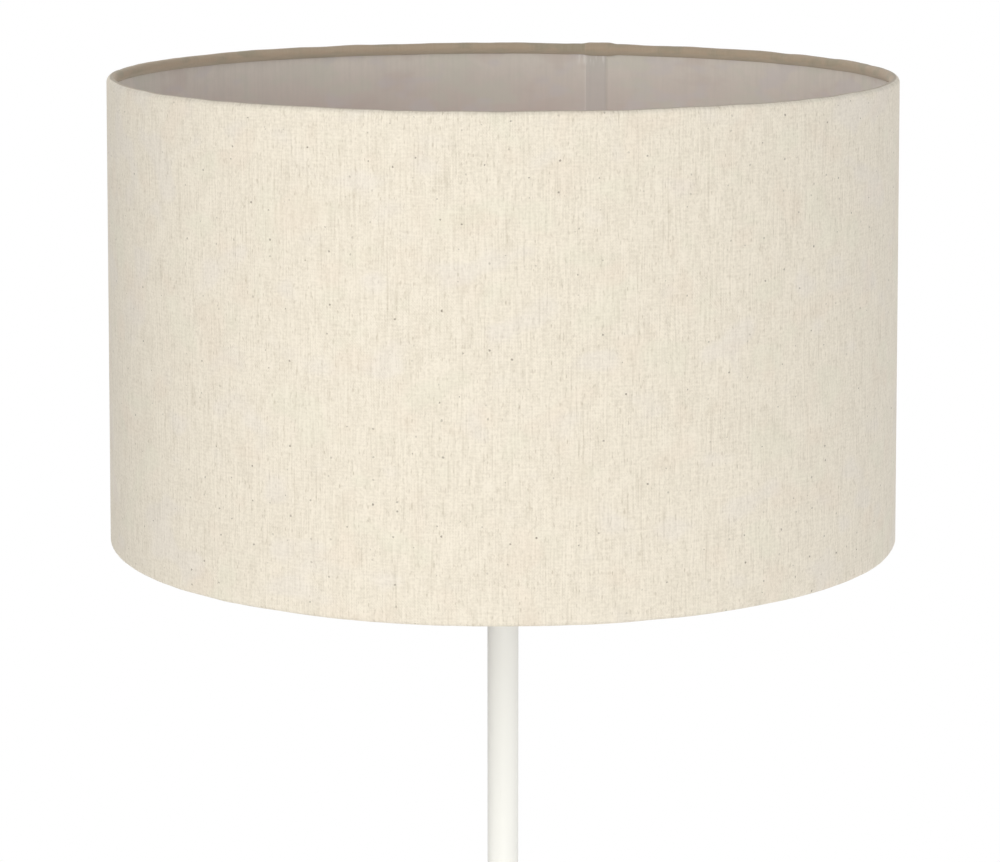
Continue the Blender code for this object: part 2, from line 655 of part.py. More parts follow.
def lug_outline():
    """One hinge lug, seen from the side with the hinge at (0, 0) and the stem to the left.

    Its lower outer corner is the stop that the open leg's ferrule comes up against.
    """
    along = Vector((math.sin(SPLAY), -math.cos(SPLAY)))
    across = Vector((math.cos(SPLAY), math.sin(SPLAY)))
    stop = FERRULE_START - GAP
    root = HUB_RADIUS - 0.7 * HUB_WALL - HINGE_RADIUS
    outer_corner = stop * along + 0.9 * KNUCKLE_RADIUS * across
    inner_corner = stop * along
    underside = -stop + 0.7 * MM
    return [
        (root, KNUCKLE_RADIUS - 1 * MM),
        *arc((0, 0), KNUCKLE_RADIUS, 100, 0, 6),
        tuple(outer_corner),
        tuple(inner_corner),
        (-KNUCKLE_RADIUS, underside),
        (root, underside),
    ]


def make_hub(stand):
    """The hub casting: a hollow barrel with three slotted lugs, and the bolt and screw holes."""
    barrel = [
        *arc((HUB_RADIUS - HUB_EDGE, HUB_TOP - HUB_EDGE), HUB_EDGE, 90, 0, 3),
        (HUB_RADIUS, HUB_BOTTOM),
        (CAVITY_RADIUS, HUB_BOTTOM),
        (CAVITY_RADIUS, CAVITY_TOP),
        (THREAD_HOLE_RADIUS, CAVITY_TOP),
        (THREAD_HOLE_RADIUS, HUB_TOP),
    ]
    casting = turned("hub_casting", barrel, WHITE_PAINT, closed=True, parent=stand)
    for number, azimuth in enumerate(LEG_AZIMUTHS, 1):
        seat = hinge_seat(number, azimuth)
        lug = flat_outline(f"lug_{number}", lug_outline(), 2 * LUG_OUTER, parent=seat)
        slot_start = HUB_RADIUS + 1 * MM - HINGE_RADIUS
        slot = box(
            f"lug_slot_{number}",
            (slot_start, -LUG_INNER, -3 * KNUCKLE_RADIUS),
            (3 * KNUCKLE_RADIUS, LUG_INNER, 3 * KNUCKLE_RADIUS),
            parent=seat, cutter=True,
        )
        bolt_hole = cylinder(
            f"lug_bolt_hole_{number}", BOLT_HOLE_RADIUS, -2 * LUG_OUTER, 2 * LUG_OUTER, axis="Y",
            parent=seat,
        )
        cut(lug, slot, bolt_hole)
        join(casting, lug)
    for number, place in enumerate(cover_screw_places(), 1):
        hole = cylinder(
            f"cover_screw_hole_{number}", COVER_SCREW_RADIUS + RUNNING_GAP,
            HUB_BOTTOM - 5 * MM, HUB_BOTTOM + COVER_SCREW_LENGTH, steps=12,
        )
        hole.location = place
        cut(casting, hole)


def hinge_seat(number, azimuth):
    """An empty on one leg hinge's axis. Its X points away from the stem and its Y lies along the bolt."""
    name = f"hinge_seat_{number}"
    if name in bpy.data.objects:
        return bpy.data.objects[name]
    place = Matrix.Rotation(azimuth, 3, "Z") @ Vector((HINGE_RADIUS, 0, HINGE_HEIGHT))
    return add_empty(name, place, (0, 0, azimuth))


def cover_screw_places():
    """The two base-cover screws stand in the barrel's wall."""
    radius = HUB_RADIUS - HUB_WALL / 2
    return [(radius, 0, 0), (-radius, 0, 0)]


def make_hub_base(stand):
    """The cover under the hub with its two screws, the cord gland in it, and the terminal block above."""
    top = HUB_BOTTOM - GAP
    bottom = top - COVER_THICKNESS
    rim = HUB_RADIUS - 0.5 * MM
    disc = [
        (rim, top),
        (rim, bottom + 1 * MM),
        (rim - 1 * MM, bottom),
        (GLAND_NECK_RADIUS + RUNNING_GAP, bottom),
        (GLAND_NECK_RADIUS + RUNNING_GAP, top),
    ]
    cover = turned("hub_base_cover", disc, WHITE_PAINT, closed=True, parent=stand)
    head_radius, head_height = 2 * COVER_SCREW_RADIUS, 1.8 * MM
    for number, place in enumerate(cover_screw_places(), 1):
        hole = cylinder(
            f"cover_hole_{number}", COVER_SCREW_RADIUS + RUNNING_GAP, bottom - 2 * MM, top + 2 * MM, steps=12
        )
        hole.location = place
        cut(cover, hole)
        head_top = bottom - GAP
        profile = [
            (0, head_top + COVER_SCREW_LENGTH),
            (COVER_SCREW_RADIUS, head_top + COVER_SCREW_LENGTH),
            (COVER_SCREW_RADIUS, head_top),
            (head_radius, head_top),
            (head_radius - 0.7 * MM, head_top - head_height),
            (0, head_top - head_height),
        ]
        turned(f"cover_screw_{number}", profile, PLATED_STEEL, 12, parent=stand).location = place

    flange_top = bottom - GAP
    gland = [
        (GLAND_NECK_RADIUS, top + 5 * MM),
        (GLAND_NECK_RADIUS, flange_top),
        (GLAND_FLANGE_RADIUS, flange_top),
        (GLAND_FLANGE_RADIUS, flange_top - 0.5 * GLAND_FLANGE_HEIGHT),
        (GLAND_BORE_RADIUS + 1.5 * MM, flange_top - GLAND_FLANGE_HEIGHT),
        (GLAND_BORE_RADIUS, flange_top - GLAND_FLANGE_HEIGHT),
        (GLAND_BORE_RADIUS, top + 5 * MM),
    ]
    turned("cord_gland", gland, WHITE_PLASTIC, SMALL_STEPS, closed=True, parent=stand)

    block_top = terminal_block_top()
    block = box(
        "terminal_block",
        (-TERMINAL_WIDTH / 2, -TERMINAL_DEPTH / 2, block_top - TERMINAL_HEIGHT),
        (TERMINAL_WIDTH / 2, TERMINAL_DEPTH / 2, block_top),
        WHITE_PLASTIC, stand,
    )
    for side in (-1, 1):
        way = cylinder(
            f"terminal_way_{side}", LEAD_RADIUS + RUNNING_GAP, block_top - TERMINAL_HEIGHT - 1 * MM,
            block_top + 1 * MM, steps=12,
        )
        way.location.x = side * terminal_pitch()
        cut(block, way)


# ---- Leg hinges ----------------------------------------------------------------------------------------
def make_hinge_hardware(number, seat, knob_seat):
    """The bolt, the two nylon washers and the clamping knob of one leg hinge."""
    along_y = (-math.pi / 2, 0, 0)
    knob_bottom = LUG_OUTER + GAP
    knob_shoulder = knob_bottom + KNOB_NECK_HEIGHT
    knob_top = knob_shoulder + KNOB_HEIGHT
    bore_end = knob_top - 3 * MM
    head_face = -LUG_OUTER - GAP
    bolt = [
        (0, bore_end - 1 * MM),
        (BOLT_RADIUS, bore_end - 1 * MM),
        (BOLT_RADIUS, head_face),
        (BOLT_HEAD_RADIUS, head_face),
        (BOLT_HEAD_RADIUS - 0.5 * MM, head_face - 0.5 * BOLT_HEAD_HEIGHT),
        (0.5 * BOLT_HEAD_RADIUS, head_face - BOLT_HEAD_HEIGHT),
        (0, head_face - BOLT_HEAD_HEIGHT),
    ]
    turned(f"hinge_bolt_{number}", bolt, PLATED_STEEL, SMALL_STEPS, parent=seat).rotation_euler = along_y
    beside = TONGUE_THICKNESS / 2 + GAP
    for label, low in (("a", beside), ("b", -beside - WASHER_THICKNESS)):
        washer = sleeve(
            f"hinge_washer_{number}{label}", WASHER_RADIUS, BOLT_HOLE_RADIUS, low, low + WASHER_THICKNESS,
            NYLON, SMALL_STEPS, seat,
        )
        washer.rotation_euler = along_y
    knob = [
        (0, knob_top),
        (KNOB_RADIUS - 1.5 * MM, knob_top),
        (KNOB_RADIUS, knob_top - 1.5 * MM),
        (KNOB_RADIUS, knob_shoulder + 1 * MM),
        (KNOB_RADIUS - 1 * MM, knob_shoulder),
        (KNOB_NECK_RADIUS, knob_shoulder),
        (KNOB_NECK_RADIUS, knob_bottom),
        (BOLT_HOLE_RADIUS, knob_bottom),
        (BOLT_HOLE_RADIUS, bore_end),
        (0, bore_end),
    ]
    grip = turned(f"clamp_knob_{number}", knob, PLATED_STEEL, SMALL_STEPS, parent=knob_seat)
    grip.rotation_euler = along_y


def make_leg(number, hinge):
    """One leg, down its hinge empty's -Z: ferrule, turned leg, fixing screw and rubber foot."""
    tenon_radius = LEG_TOP_RADIUS - TENON_STEP
    socket_radius = tenon_radius + GAP
    socket_top = -FERRULE_START - FERRULE_TOP_WALL
    edge = 1.5 * MM
    cup = [
        (0, -FERRULE_START),
        (FERRULE_RADIUS - edge, -FERRULE_START),
        (FERRULE_RADIUS, -FERRULE_START - edge),
        (FERRULE_RADIUS, -FERRULE_END + 0.5 * MM),
        (FERRULE_RADIUS - 0.5 * MM, -FERRULE_END),
        (socket_radius, -FERRULE_END),
        (socket_radius, socket_top),
        (0, socket_top),
    ]
    ferrule = turned(f"leg_{number}_ferrule", cup, WHITE_PAINT, parent=hinge)
    knuckle = KNUCKLE_RADIUS
    tongue_foot = -FERRULE_START - 0.5 * FERRULE_TOP_WALL
    outline = [(-knuckle, tongue_foot), *arc((0, 0), knuckle, 180, 0, 10), (knuckle, tongue_foot)]
    tongue = flat_outline(f"tongue_{number}", outline, TONGUE_THICKNESS, parent=hinge)
    bolt_hole = cylinder(
        f"tongue_hole_{number}", BOLT_HOLE_RADIUS, -TONGUE_THICKNESS, TONGUE_THICKNESS, axis="Y",
        parent=hinge,
    )
    cut(tongue, bolt_hole)
    join(ferrule, tongue)

    leg_length = LEG_END - FERRULE_END
    shaft = [
        (0, socket_top - GAP),
        (tenon_radius, socket_top - GAP),
        (tenon_radius, -FERRULE_END - GAP),
        (LEG_TOP_RADIUS - 0.6 * MM, -FERRULE_END - GAP),
        (LEG_TOP_RADIUS, -FERRULE_END - GAP - 0.6 * MM),
        (LEG_TOP_RADIUS - 0.3 * (LEG_TOP_RADIUS - LEG_END_RADIUS), -FERRULE_END - 0.4 * leg_length),
        (LEG_END_RADIUS, -LEG_END),
        (0, -LEG_END),
    ]
    leg = turned(f"leg_{number}", shaft, PAINTED_WOOD, parent=hinge)

    screw_z = -FERRULE_START - FERRULE_TOP_WALL - 0.5 * (FERRULE_LENGTH - FERRULE_TOP_WALL)
    screw_tip = 0.3 * tenon_radius
    hole = cylinder(
        f"ferrule_screw_hole_{number}", FERRULE_SCREW_RADIUS + RUNNING_GAP, -2 * FERRULE_RADIUS,
        GAP - screw_tip, axis="X", steps=12, parent=hinge,
    )
    hole.location.z = screw_z
    cut(ferrule, hole)
    cut(leg, hole)
    head_face = FERRULE_RADIUS + GAP
    head_height = 2 * MM
    screw = [
        (0, head_face + head_height),
        (FERRULE_SCREW_HEAD_RADIUS - 1 * MM, head_face + head_height),
        (FERRULE_SCREW_HEAD_RADIUS, head_face + 0.5 * head_height),
        (FERRULE_SCREW_HEAD_RADIUS, head_face),
        (FERRULE_SCREW_RADIUS, head_face),
        (FERRULE_SCREW_RADIUS, screw_tip),
        (0, screw_tip),
    ]
    fixing = turned(f"leg_{number}_screw", screw, PLATED_STEEL, 12, parent=hinge)
    fixing.rotation_euler = (0, -math.pi / 2, 0)
    fixing.location.z = screw_z

    taper = (LEG_TOP_RADIUS - LEG_END_RADIUS) / leg_length
    cup_radius = LEG_END_RADIUS + taper * FOOT_CUP_DEPTH + GAP
    foot_radius = cup_radius + FOOT_WALL
    foot_low = -LEG_REACH - 2 * foot_radius * math.tan(SPLAY)
    foot = [
        (foot_radius - 0.8 * MM, -LEG_END + FOOT_CUP_DEPTH),
        (foot_radius, -LEG_END + FOOT_CUP_DEPTH - 0.8 * MM),
        (foot_radius, foot_low),
        (0, foot_low),
        (0, -LEG_END - GAP),
        (cup_radius, -LEG_END - GAP),
        (cup_radius, -LEG_END + FOOT_CUP_DEPTH),
    ]
    rubber = open_cup(f"leg_{number}_foot", foot, RUBBER, hinge)
    reach = 2 * STANCE_RADIUS
    floor = box(f"floor_{number}", (-reach, -reach, -0.1), (reach, reach, 0), cutter=True)
    cut(rubber, floor)


# ---- The whole lamp ------------------------------------------------------------------------------------
def main():
    """Builds the lamp, body by body."""
    for obj in list(bpy.data.objects):
        bpy.data.objects.remove(obj)
    for collection in (LAMP, CUTTERS):
        bpy.context.scene.collection.children.link(collection)

    stand = add_empty("stand")
    make_hub(stand)
    make_hub_base(stand)
    make_stem(stand)
    make_leads(stand)
    make_lampholder(stand)

    shade = add_empty("shade_turn")
    make_shade_covering(shade)
    make_shade_wires(shade)
    make_shade_ring(add_empty("shade_ring_turn"))
    make_bulb(add_empty("bulb_lift"))
    make_switch_bar(add_empty("switch_slide", (0, -SWITCH_TRAVEL / 2, SWITCH_BAR_Z)))

    for number, azimuth in enumerate(LEG_AZIMUTHS, 1):
        seat = hinge_seat(number, azimuth)
        knob_seat = add_empty(f"knob_turn_{number}", seat.location, seat.rotation_euler)
        make_hinge_hardware(number, seat, knob_seat)
        make_leg(number, add_empty(f"leg_fold_{number}", seat.location, (0, -SPLAY, azimuth)))


main()
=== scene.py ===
"""The looks of a tripod floor lamp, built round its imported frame.

A linen drum shade stands on a slim painted stem, over a cast hub and three hinged wooden legs. The frame
gives every place and outer size, in metres. The classes hold what it leaves open: fillets, threads, weave
and walls. Each class makes one sub-assembly, dresses it and hands it to the body that carries it.
"""

import json
import logging
import math
from collections.abc import Callable, Mapping, Sequence
from dataclasses import dataclass, field
from enum import Enum

import bmesh
import bpy
from mathutils import Matrix, Vector


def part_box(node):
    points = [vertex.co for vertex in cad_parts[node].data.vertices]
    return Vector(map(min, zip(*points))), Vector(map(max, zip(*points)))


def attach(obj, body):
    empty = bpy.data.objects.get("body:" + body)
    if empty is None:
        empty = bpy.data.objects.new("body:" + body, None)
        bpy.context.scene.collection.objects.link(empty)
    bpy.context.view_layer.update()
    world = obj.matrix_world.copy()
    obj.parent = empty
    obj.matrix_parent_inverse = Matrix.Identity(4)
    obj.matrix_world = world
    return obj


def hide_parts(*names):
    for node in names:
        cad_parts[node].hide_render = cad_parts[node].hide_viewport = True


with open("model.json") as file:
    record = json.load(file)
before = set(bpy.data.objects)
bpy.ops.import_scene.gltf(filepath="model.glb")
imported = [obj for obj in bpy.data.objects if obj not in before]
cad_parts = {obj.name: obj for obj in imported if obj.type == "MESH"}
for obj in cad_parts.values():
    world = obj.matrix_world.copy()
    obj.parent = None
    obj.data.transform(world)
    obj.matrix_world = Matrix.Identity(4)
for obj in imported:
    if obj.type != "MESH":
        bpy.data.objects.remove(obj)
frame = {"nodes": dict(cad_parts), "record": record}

LOG = logging.getLogger("tripod_floor_lamp")
MM = 0.001
GAP = 0.3 * MM
MERGE = 2e-6
KEEP_ANGLE = 38.0
WALL_ANGLE = 60.0
LEAD_HOLE = 1.55 * MM
Colour = tuple[float, float, float]
Point = tuple[float, float]
Corner = tuple[float, ...]
Solid = bpy.types.Object


# ---- Node trees ----
class Signal:
    """One node's output, on which plain arithmetic adds the nodes of the sum."""

    def __init__(self, bench: "Bench", socket: bpy.types.NodeSocket) -> None:
        """Keeps the output and the bench on which its tree is wired."""
        self.bench, self.socket = bench, socket

    def __add__(self, other: "Signal | float") -> "Signal":
        """This plus the other."""
        return self.bench.maths("ADD", self, other)

    def __sub__(self, other: "Signal | float") -> "Signal":
        """This minus the other."""
        return self.bench.maths("SUBTRACT", self, other)

    def __mul__(self, other: "Signal | float") -> "Signal":
        """This times the other."""
        return self.bench.maths("MULTIPLY", self, other)

    def __truediv__(self, other: "Signal | float") -> "Signal":
        """This over the other."""
        return self.bench.maths("DIVIDE", self, other)

    def __rsub__(self, other: float) -> "Signal":
        """The number minus this."""
        return self.bench.maths("SUBTRACT", other, self)

    __radd__, __rmul__ = __add__, __mul__

    def sine(self) -> "Signal":
        """The sine of this angle."""
        return self.bench.maths("SINE", self)

    def cosine(self) -> "Signal":
        """The cosine of this angle."""
        return self.bench.maths("COSINE", self)

    def rise(self, low: "Signal | float", high: "Signal | float") -> "Signal":
        """A smooth step from 0 at low to 1 at high, or down again where low is above high."""
        inputs = {"Value": self, "From Min": low, "From Max": high}
        return self.bench.node("ShaderNodeMapRange", {"interpolation_type": "SMOOTHSTEP"}, inputs)

    def axis(self, letter: str) -> "Signal":
        """One coordinate of this vector."""
        return self.bench.node("ShaderNodeSeparateXYZ", {}, {0: self}, letter)

    def twin(self, name: str) -> "Signal":
        """Another output of the same node."""
        return Signal(self.bench, Bench.socket(self.socket.node.outputs, name))


class Bench:
    """A node tree being wired."""

    def __init__(self, tree: bpy.types.NodeTree) -> None:
        """Takes the tree that the nodes go into."""
        self.tree = tree

    @staticmethod
    def socket(sockets: bpy.types.bpy_prop_collection, key: str | int) -> bpy.types.NodeSocket:
        """The socket in use with this name, or at this place."""
        used = [one for one in sockets if one.enabled]
        return used[key] if isinstance(key, int) else next(one for one in used if one.name == key)

    def node(
        self,
        kind: str,
        settings: Mapping[str, object] = {},
        inputs: Mapping[str | int, object] = {},
        output: str | int = 0,
    ) -> Signal:
        """Adds one node, sets it up and then fills its inputs.

        Args:
            kind: The node's type, such as ShaderNodeMath.
            settings: Its own properties, such as a Math node's operation.
            inputs: Numbers, colours or signals, by the input's name or place.
            output: The output wanted.

        Returns:
            The signal from that output.
        """
        made = self.tree.nodes.new(kind)
        for name, value in settings.items():
            setattr(made, name, value)
        for key, value in inputs.items():
            into = self.socket(made.inputs, key)
            if isinstance(value, Signal):
                self.tree.links.new(value.socket, into)
            elif into.type == "RGBA":
                into.default_value = (*value, 1.0)
            else:
                into.default_value = value
        return Signal(self, self.socket(made.outputs, output))

    def maths(self, operation: str, *values: Signal | float) -> Signal:
        """One sum on plain numbers."""
        return self.node("ShaderNodeMath", {"operation": operation}, dict(enumerate(values)))

    def vector(self, operation: str, *values: object) -> Signal:
        """One sum on vectors."""
        return self.node("ShaderNodeVectorMath", {"operation": operation}, dict(enumerate(values)))

    def mix(self, share: Signal | float, first: object, second: object) -> Signal:
        """The first colour, and the second in its place by this share."""
        settings = {"data_type": "RGBA", "clamp_factor": True}
        return self.node("ShaderNodeMix", settings, {"Factor": share, "A": first, "B": second})

    def noise(
        self, where: Signal, cell: Sequence[float], detail: float = 2.0, shift: float = 0.0
    ) -> Signal:
        """Soft noise from 0 to 1 about one half, whose blots have this size along each axis.

        Args:
            where: The coordinates, in metres.
            cell: The size of a blot along x, y and z, in mm.
            detail: How many finer layers are added.
            shift: Moves the pattern, so that two of them don't match.

        Returns:
            The noise.
        """
        scaled = self.vector("MULTIPLY", where, tuple(1 / (size * MM) for size in cell))
        moved = self.vector("ADD", scaled, (shift, 0.7 * shift, 0.3 * shift))
        return self.node("ShaderNodeTexNoise", {}, {"Vector": moved, "Scale": 1.0, "Detail": detail})

    def dots(self, where: Signal, cell: float, radius: float, kept: float, across: str = "3D") -> Signal:
        """Sparse round dots.

        Args:
            where: The coordinates, in metres.
            cell: The usual distance from one place for a dot to the next.
            radius: A dot's radius.
            kept: The share of the places that have one.
            across: "2D" for wrap coordinates, which lie in a plane.

        Returns:
            1 in a dot and 0 elsewhere.
        """
        scaled = self.vector("MULTIPLY", where, (1 / cell,) * 3)
        settings = {"voronoi_dimensions": across}
        near = self.node("ShaderNodeTexVoronoi", settings, {"Vector": scaled, "Scale": 1.0}, "Distance")
        chance = near.twin("Color").axis("X")
        size = (radius / cell) * (0.55 + 0.45 * chance.rise(1 - kept, 1))
        return near.rise(size, size * 0.6) * chance.rise(1 - kept - 0.01, 1 - kept)


class Surface(Bench):
    """A material's tree, round its one Principled shader."""

    def __init__(self, name: str, settings: Mapping[str, object]) -> None:
        """Makes the material, with whatever is the same all over it set on the shader itself.

        Args:
            name: The material's name.
            settings: Values for the shader's inputs.
        """
        self.material = bpy.data.materials.new(name)
        self.material.use_nodes = True
        super().__init__(self.material.node_tree)
        self.shader = self.tree.nodes["Principled BSDF"]
        for key, value in settings.items():
            self.shader.inputs[key].default_value = value
        self.base: Signal | Colour = settings["Base Color"][:3]

    def coat(self, share: Signal, colour: Signal | Colour) -> None:
        """Lays one more colour over what is there, by this share."""
        self.base = self.mix(share, self.base, colour)

    def place(self) -> Signal:
        """The point's own place, in metres."""
        return self.node("ShaderNodeTexCoord", {}, {}, "Object")

    def wrap(self) -> Signal:
        """The point's place round and along a turned or sewn wall, in metres."""
        return self.node("ShaderNodeUVMap", {"uv_map": "wrap"})

    def mark(self, name: str) -> Signal:
        """A number kept on the mesh."""
        return self.node("ShaderNodeAttribute", {"attribute_name": name}, {}, "Fac")

    def feed(self, name: str, signal: Signal) -> None:
        """Links a signal to one of the shader's inputs."""
        self.tree.links.new(signal.socket, self.shader.inputs[name])

    def relief(self, height: Signal, depth: float, strength: float = 1.0) -> None:
        """Raises the surface by height times depth, in metres, as a bump."""
        bump = self.node("ShaderNodeBump", {}, {"Strength": strength, "Distance": depth, "Height": height})
        self.feed("Normal", bump)


# ---- Finishes ----
@dataclass(frozen=True)
class Finish:
    """A colour and gloss that wears and varies, and the material slot that it belongs to."""

    slot: str
    colour: Colour
    roughness: float = 0.5

    def settings(self) -> dict[str, object]:
        """What is the same all over the finish."""
        return {}

    def wire(self, surface: Surface) -> None:
        """Wires what varies over the finish."""
        raise NotImplementedError

    def shaded(self, share: float) -> Colour:
        """The finish's colour, made this much darker."""
        return tuple(channel * (1 - share) for channel in self.colour)

    def material(self) -> bpy.types.Material:
        """The finish as a material, made at its first use.

        Returns:
            The material.
        """
        name = f"{type(self).__name__}_{self.slot}"
        if name not in bpy.data.materials:
            base = {"Base Color": (*self.colour, 1.0), "Roughness": self.roughness}
            self.wire(Surface(name, base | self.settings()))
        return bpy.data.materials[name]


@dataclass(frozen=True)
class Linen(Finish):
    """Natural linen with slubs, dark flecks and a darker, unbacked hem, with painted shade on the crest and
    underside of its top roll.
    """

    dark: Colour = (0.52, 0.462, 0.368)
    straw: Colour = (0.34, 0.275, 0.19)
    fleck: Colour = (0.15, 0.12, 0.09)
    hem: Colour = (0.45, 0.358, 0.265)
    # edge: the colour of the painted shade along the crest of the rolled top edge
    hem_olive: Colour = (0.365, 0.318, 0.235)
    edge: Colour = (0.34, 0.295, 0.235)
    pink: Colour = (0.72, 0.58, 0.47)
    green: Colour = (0.69, 0.69, 0.555)
    lilac: Colour = (0.70, 0.66, 0.65)
    thread: float = 0.72 * MM

    def settings(self) -> dict[str, object]:
        """Dry cloth with a little fuzz."""
        return {"Specular IOR Level": 0.12, "Sheen Weight": 0.12, "Sheen Roughness": 0.6}

    def wire(self, surface: Surface) -> None:
        """Weaves the threads, then lays the flecks, the patches and the hem's tint over them, with painted
        shade along the crest of the top roll and under it.

        Args:
            surface: The material's tree.
        """
        cloth = surface.wrap()
        wander = surface.noise(cloth, (6, 6, 1), 1.0, 3.1) - 0.5
        across = cloth.axis("X") + wander * self.thread * 1.4
        up = cloth.axis("Y") + wander * self.thread * 1.1
        turn = math.pi / self.thread
        stripes = (across * turn).sine()
        weave = stripes * (up * (turn * 0.93)).sine()
        warp = surface.noise(cloth, (1.15, 19, 1), 2.0)
        grain = surface.noise(cloth, (1.6, 1.5, 1), 1.0, 83.0)
        weft = surface.noise(cloth, (9, 0.95, 1), 2.0, 7.3)
        dashes = surface.noise(cloth, (1.15, 4.4, 1), 1.0, 17.0).rise(0.60, 0.76)
        slubs = surface.noise(cloth, (1.4, 34, 1), 2.0, 29.0).rise(0.60, 0.76)
        knots = surface.noise(cloth, (2.2, 1.5, 1), 1.0, 41.0).rise(0.66, 0.80)
        mottle = surface.noise(cloth, (6, 11, 1), 1.0, 91.0)
        patch = surface.noise(cloth, (26, 20, 1), 2.0, 53.0)
        tint = surface.noise(cloth, (34, 24, 1), 1.0, 61.0)
        cast = surface.noise(cloth, (30, 26, 1), 1.0, 67.0)

        show = patch.rise(0.40, 0.62)
        tone = 0.80 + (warp - 0.5) * 0.88 + (grain - 0.5) * 0.75
        tone = tone + (weft - 0.5) * 0.42 + (mottle - 0.5) * 0.30
        tone = tone + weave * (0.02 + 0.05 * show) + stripes * (0.055 * show)
        surface.base = self.dark
        surface.coat(tone, self.colour)
        surface.coat(dashes * 0.30, self.straw)
        surface.coat(slubs * 0.20, self.straw)
        surface.coat(knots * 0.22, self.dark)
        surface.coat(tint.rise(0.57, 0.70) * 0.19, self.lilac)
        surface.coat(tint.rise(0.43, 0.30) * 0.19, self.green)
        surface.coat(cast.rise(0.55, 0.70) * 0.14, self.pink)
        torn = surface.noise(cloth, (0.8, 0.8, 1), 1.0, 37.0).twin("Color")
        ragged = surface.vector("MULTIPLY_ADD", torn, (0.9 * MM,) * 3, cloth)
        flecks = surface.dots(ragged, 12 * MM, 0.74 * MM, 0.36, "2D")
        faint = surface.noise(cloth, (14, 14, 1), 1.0, 47.0).rise(0.36, 0.64)
        surface.coat(flecks * (0.26 + faint * 0.44), self.fleck)
        hairs = surface.vector("MULTIPLY", cloth, (1.0, 0.30, 1.0))
        surface.coat(surface.dots(hairs, 8 * MM, 0.42 * MM, 0.30, "2D") * 0.42, self.straw)

        turned = surface.mark("hem")
        blots = surface.noise(cloth, (17, 9, 1), 2.0, 71.0).rise(0.46, 0.66)
        rolled = surface.mix(blots * 0.8, self.hem, self.hem_olive)
        rolled = surface.mix((warp - 0.35) * 0.5, rolled, self.dark)
        # painted shade: the underside of the top roll and the flap tucked down to the liner are darkened
        rolled = surface.mix(turned.rise(1.50, 2.0) * 0.45, rolled, self.dark)
        # painted shade: a dark band along the crest of the top roll, where the cloth turns away at a
        # grazing angle
        rolled = surface.mix(turned.rise(0.66, 0.36) * 0.55, rolled, self.edge)
        surface.coat(turned.rise(0.04, 0.30), rolled)
        surface.feed("Base Color", surface.base)
        surface.feed("Roughness", 0.86 + weave * 0.05)
        height = weave * (0.2 + 0.4 * show) + warp * 0.9 + grain * 0.4 + weft * 0.5
        surface.relief(height + slubs * 0.8 + knots * 0.6, 0.10 * MM, 0.55)


@dataclass(frozen=True)
class LinerFilm(Finish):
    """The stiff white film behind the linen, whose threads show faintly through it, with painted shade that
    deepens down the wall.
    """

    # pink: a random blotch colour, and also the painted shade that the wall darkens to lower down
    pink: Colour = (0.515, 0.422, 0.385)
    green: Colour = (0.545, 0.54, 0.465)
    lilac: Colour = (0.55, 0.505, 0.51)
    # the colour of the painted highlights on the lap's edge and on the glue
    painted_highlight: Colour = (0.82, 0.80, 0.78)
    lap_width: float = 13 * MM

    def settings(self) -> dict[str, object]:
        """A satin film."""
        return {"Specular IOR Level": 0.35}

    def wire(self, surface: Surface) -> None:
        """Lets the linen's threads show through, with broad blotches, a tinted overlap whose edges carry a
        painted highlight and painted shade, painted glints on the glue at its top, and painted shade that
        deepens down the wall.

        Args:
            surface: The material's tree.
        """
        film = surface.wrap()
        threads = surface.noise(film, (1.6, 40, 1), 2.0, 5.0)
        clouds = surface.noise(film, (5, 7, 1), 2.0, 35.0)
        broad = surface.noise(film, (11, 60, 1), 1.0, 9.0)
        blots = surface.noise(film, (30, 15, 1), 2.0, 15.0)
        cast = surface.noise(film, (24, 12, 1), 1.0, 25.0)
        below = 1 - surface.mark("hem")
        # painted shade: the film turns darker and pinker from its top downwards, deeper inside the drum
        surface.coat(below.rise(-0.20, 0.70) * 0.75, self.pink)
        surface.coat(threads.rise(0.35, 0.75) * 0.20, self.shaded(0.25))
        surface.coat(broad.rise(0.45, 0.75) * 0.18, self.shaded(0.22))
        surface.coat(clouds.rise(0.40, 0.70) * 0.16, self.shaded(0.25))
        surface.coat(blots.rise(0.54, 0.68) * 0.34, self.pink)
        surface.coat(blots.rise(0.47, 0.32) * 0.40, self.green)
        surface.coat(cast.rise(0.53, 0.68) * 0.42, self.lilac)
        past, width = surface.mark("past_lap"), self.lap_width
        lap = past.rise(-0.3 * MM, 0.3 * MM) * past.rise(width + 0.3 * MM, width - 0.3 * MM)
        surface.coat(lap * 0.30, self.lilac)
        surface.coat(lap * 0.28, self.shaded(0.35))
        # painted highlight: a bright line just before the lap's raised edge
        lit_edge = past.rise(-1.3 * MM, -0.7 * MM) * past.rise(0.2 * MM, -0.2 * MM)
        # painted shade: a dark line just past the lap's far edge
        painted_shade_edge = past.rise(width - 0.3 * MM, width + 0.3 * MM)
        painted_shade_edge = painted_shade_edge * past.rise(width + 1.5 * MM, width + 0.7 * MM)
        surface.coat(lit_edge * 0.13, self.painted_highlight)
        surface.coat(painted_shade_edge * 0.22, self.shaded(0.35))
        near = past.rise(-7 * MM, -5 * MM) * past.rise(width, width - 2 * MM) * below.rise(0.16, 0.05)
        # painted highlight: whitish jagged glints on the glue near the lap's top; the glue's own gloss is
        # its lower roughness
        glue_and_glint = surface.noise(film, (1.5, 9, 1), 2.0, 24.0).rise(0.44, 0.66) * near
        surface.coat(glue_and_glint * 0.30, self.painted_highlight)
        surface.feed("Base Color", surface.base)
        surface.feed("Roughness", 0.52 + threads * 0.16 - glue_and_glint * 0.34)
        surface.relief(threads * 0.5 + broad + glue_and_glint * 1.5, 0.08 * MM, 0.5)


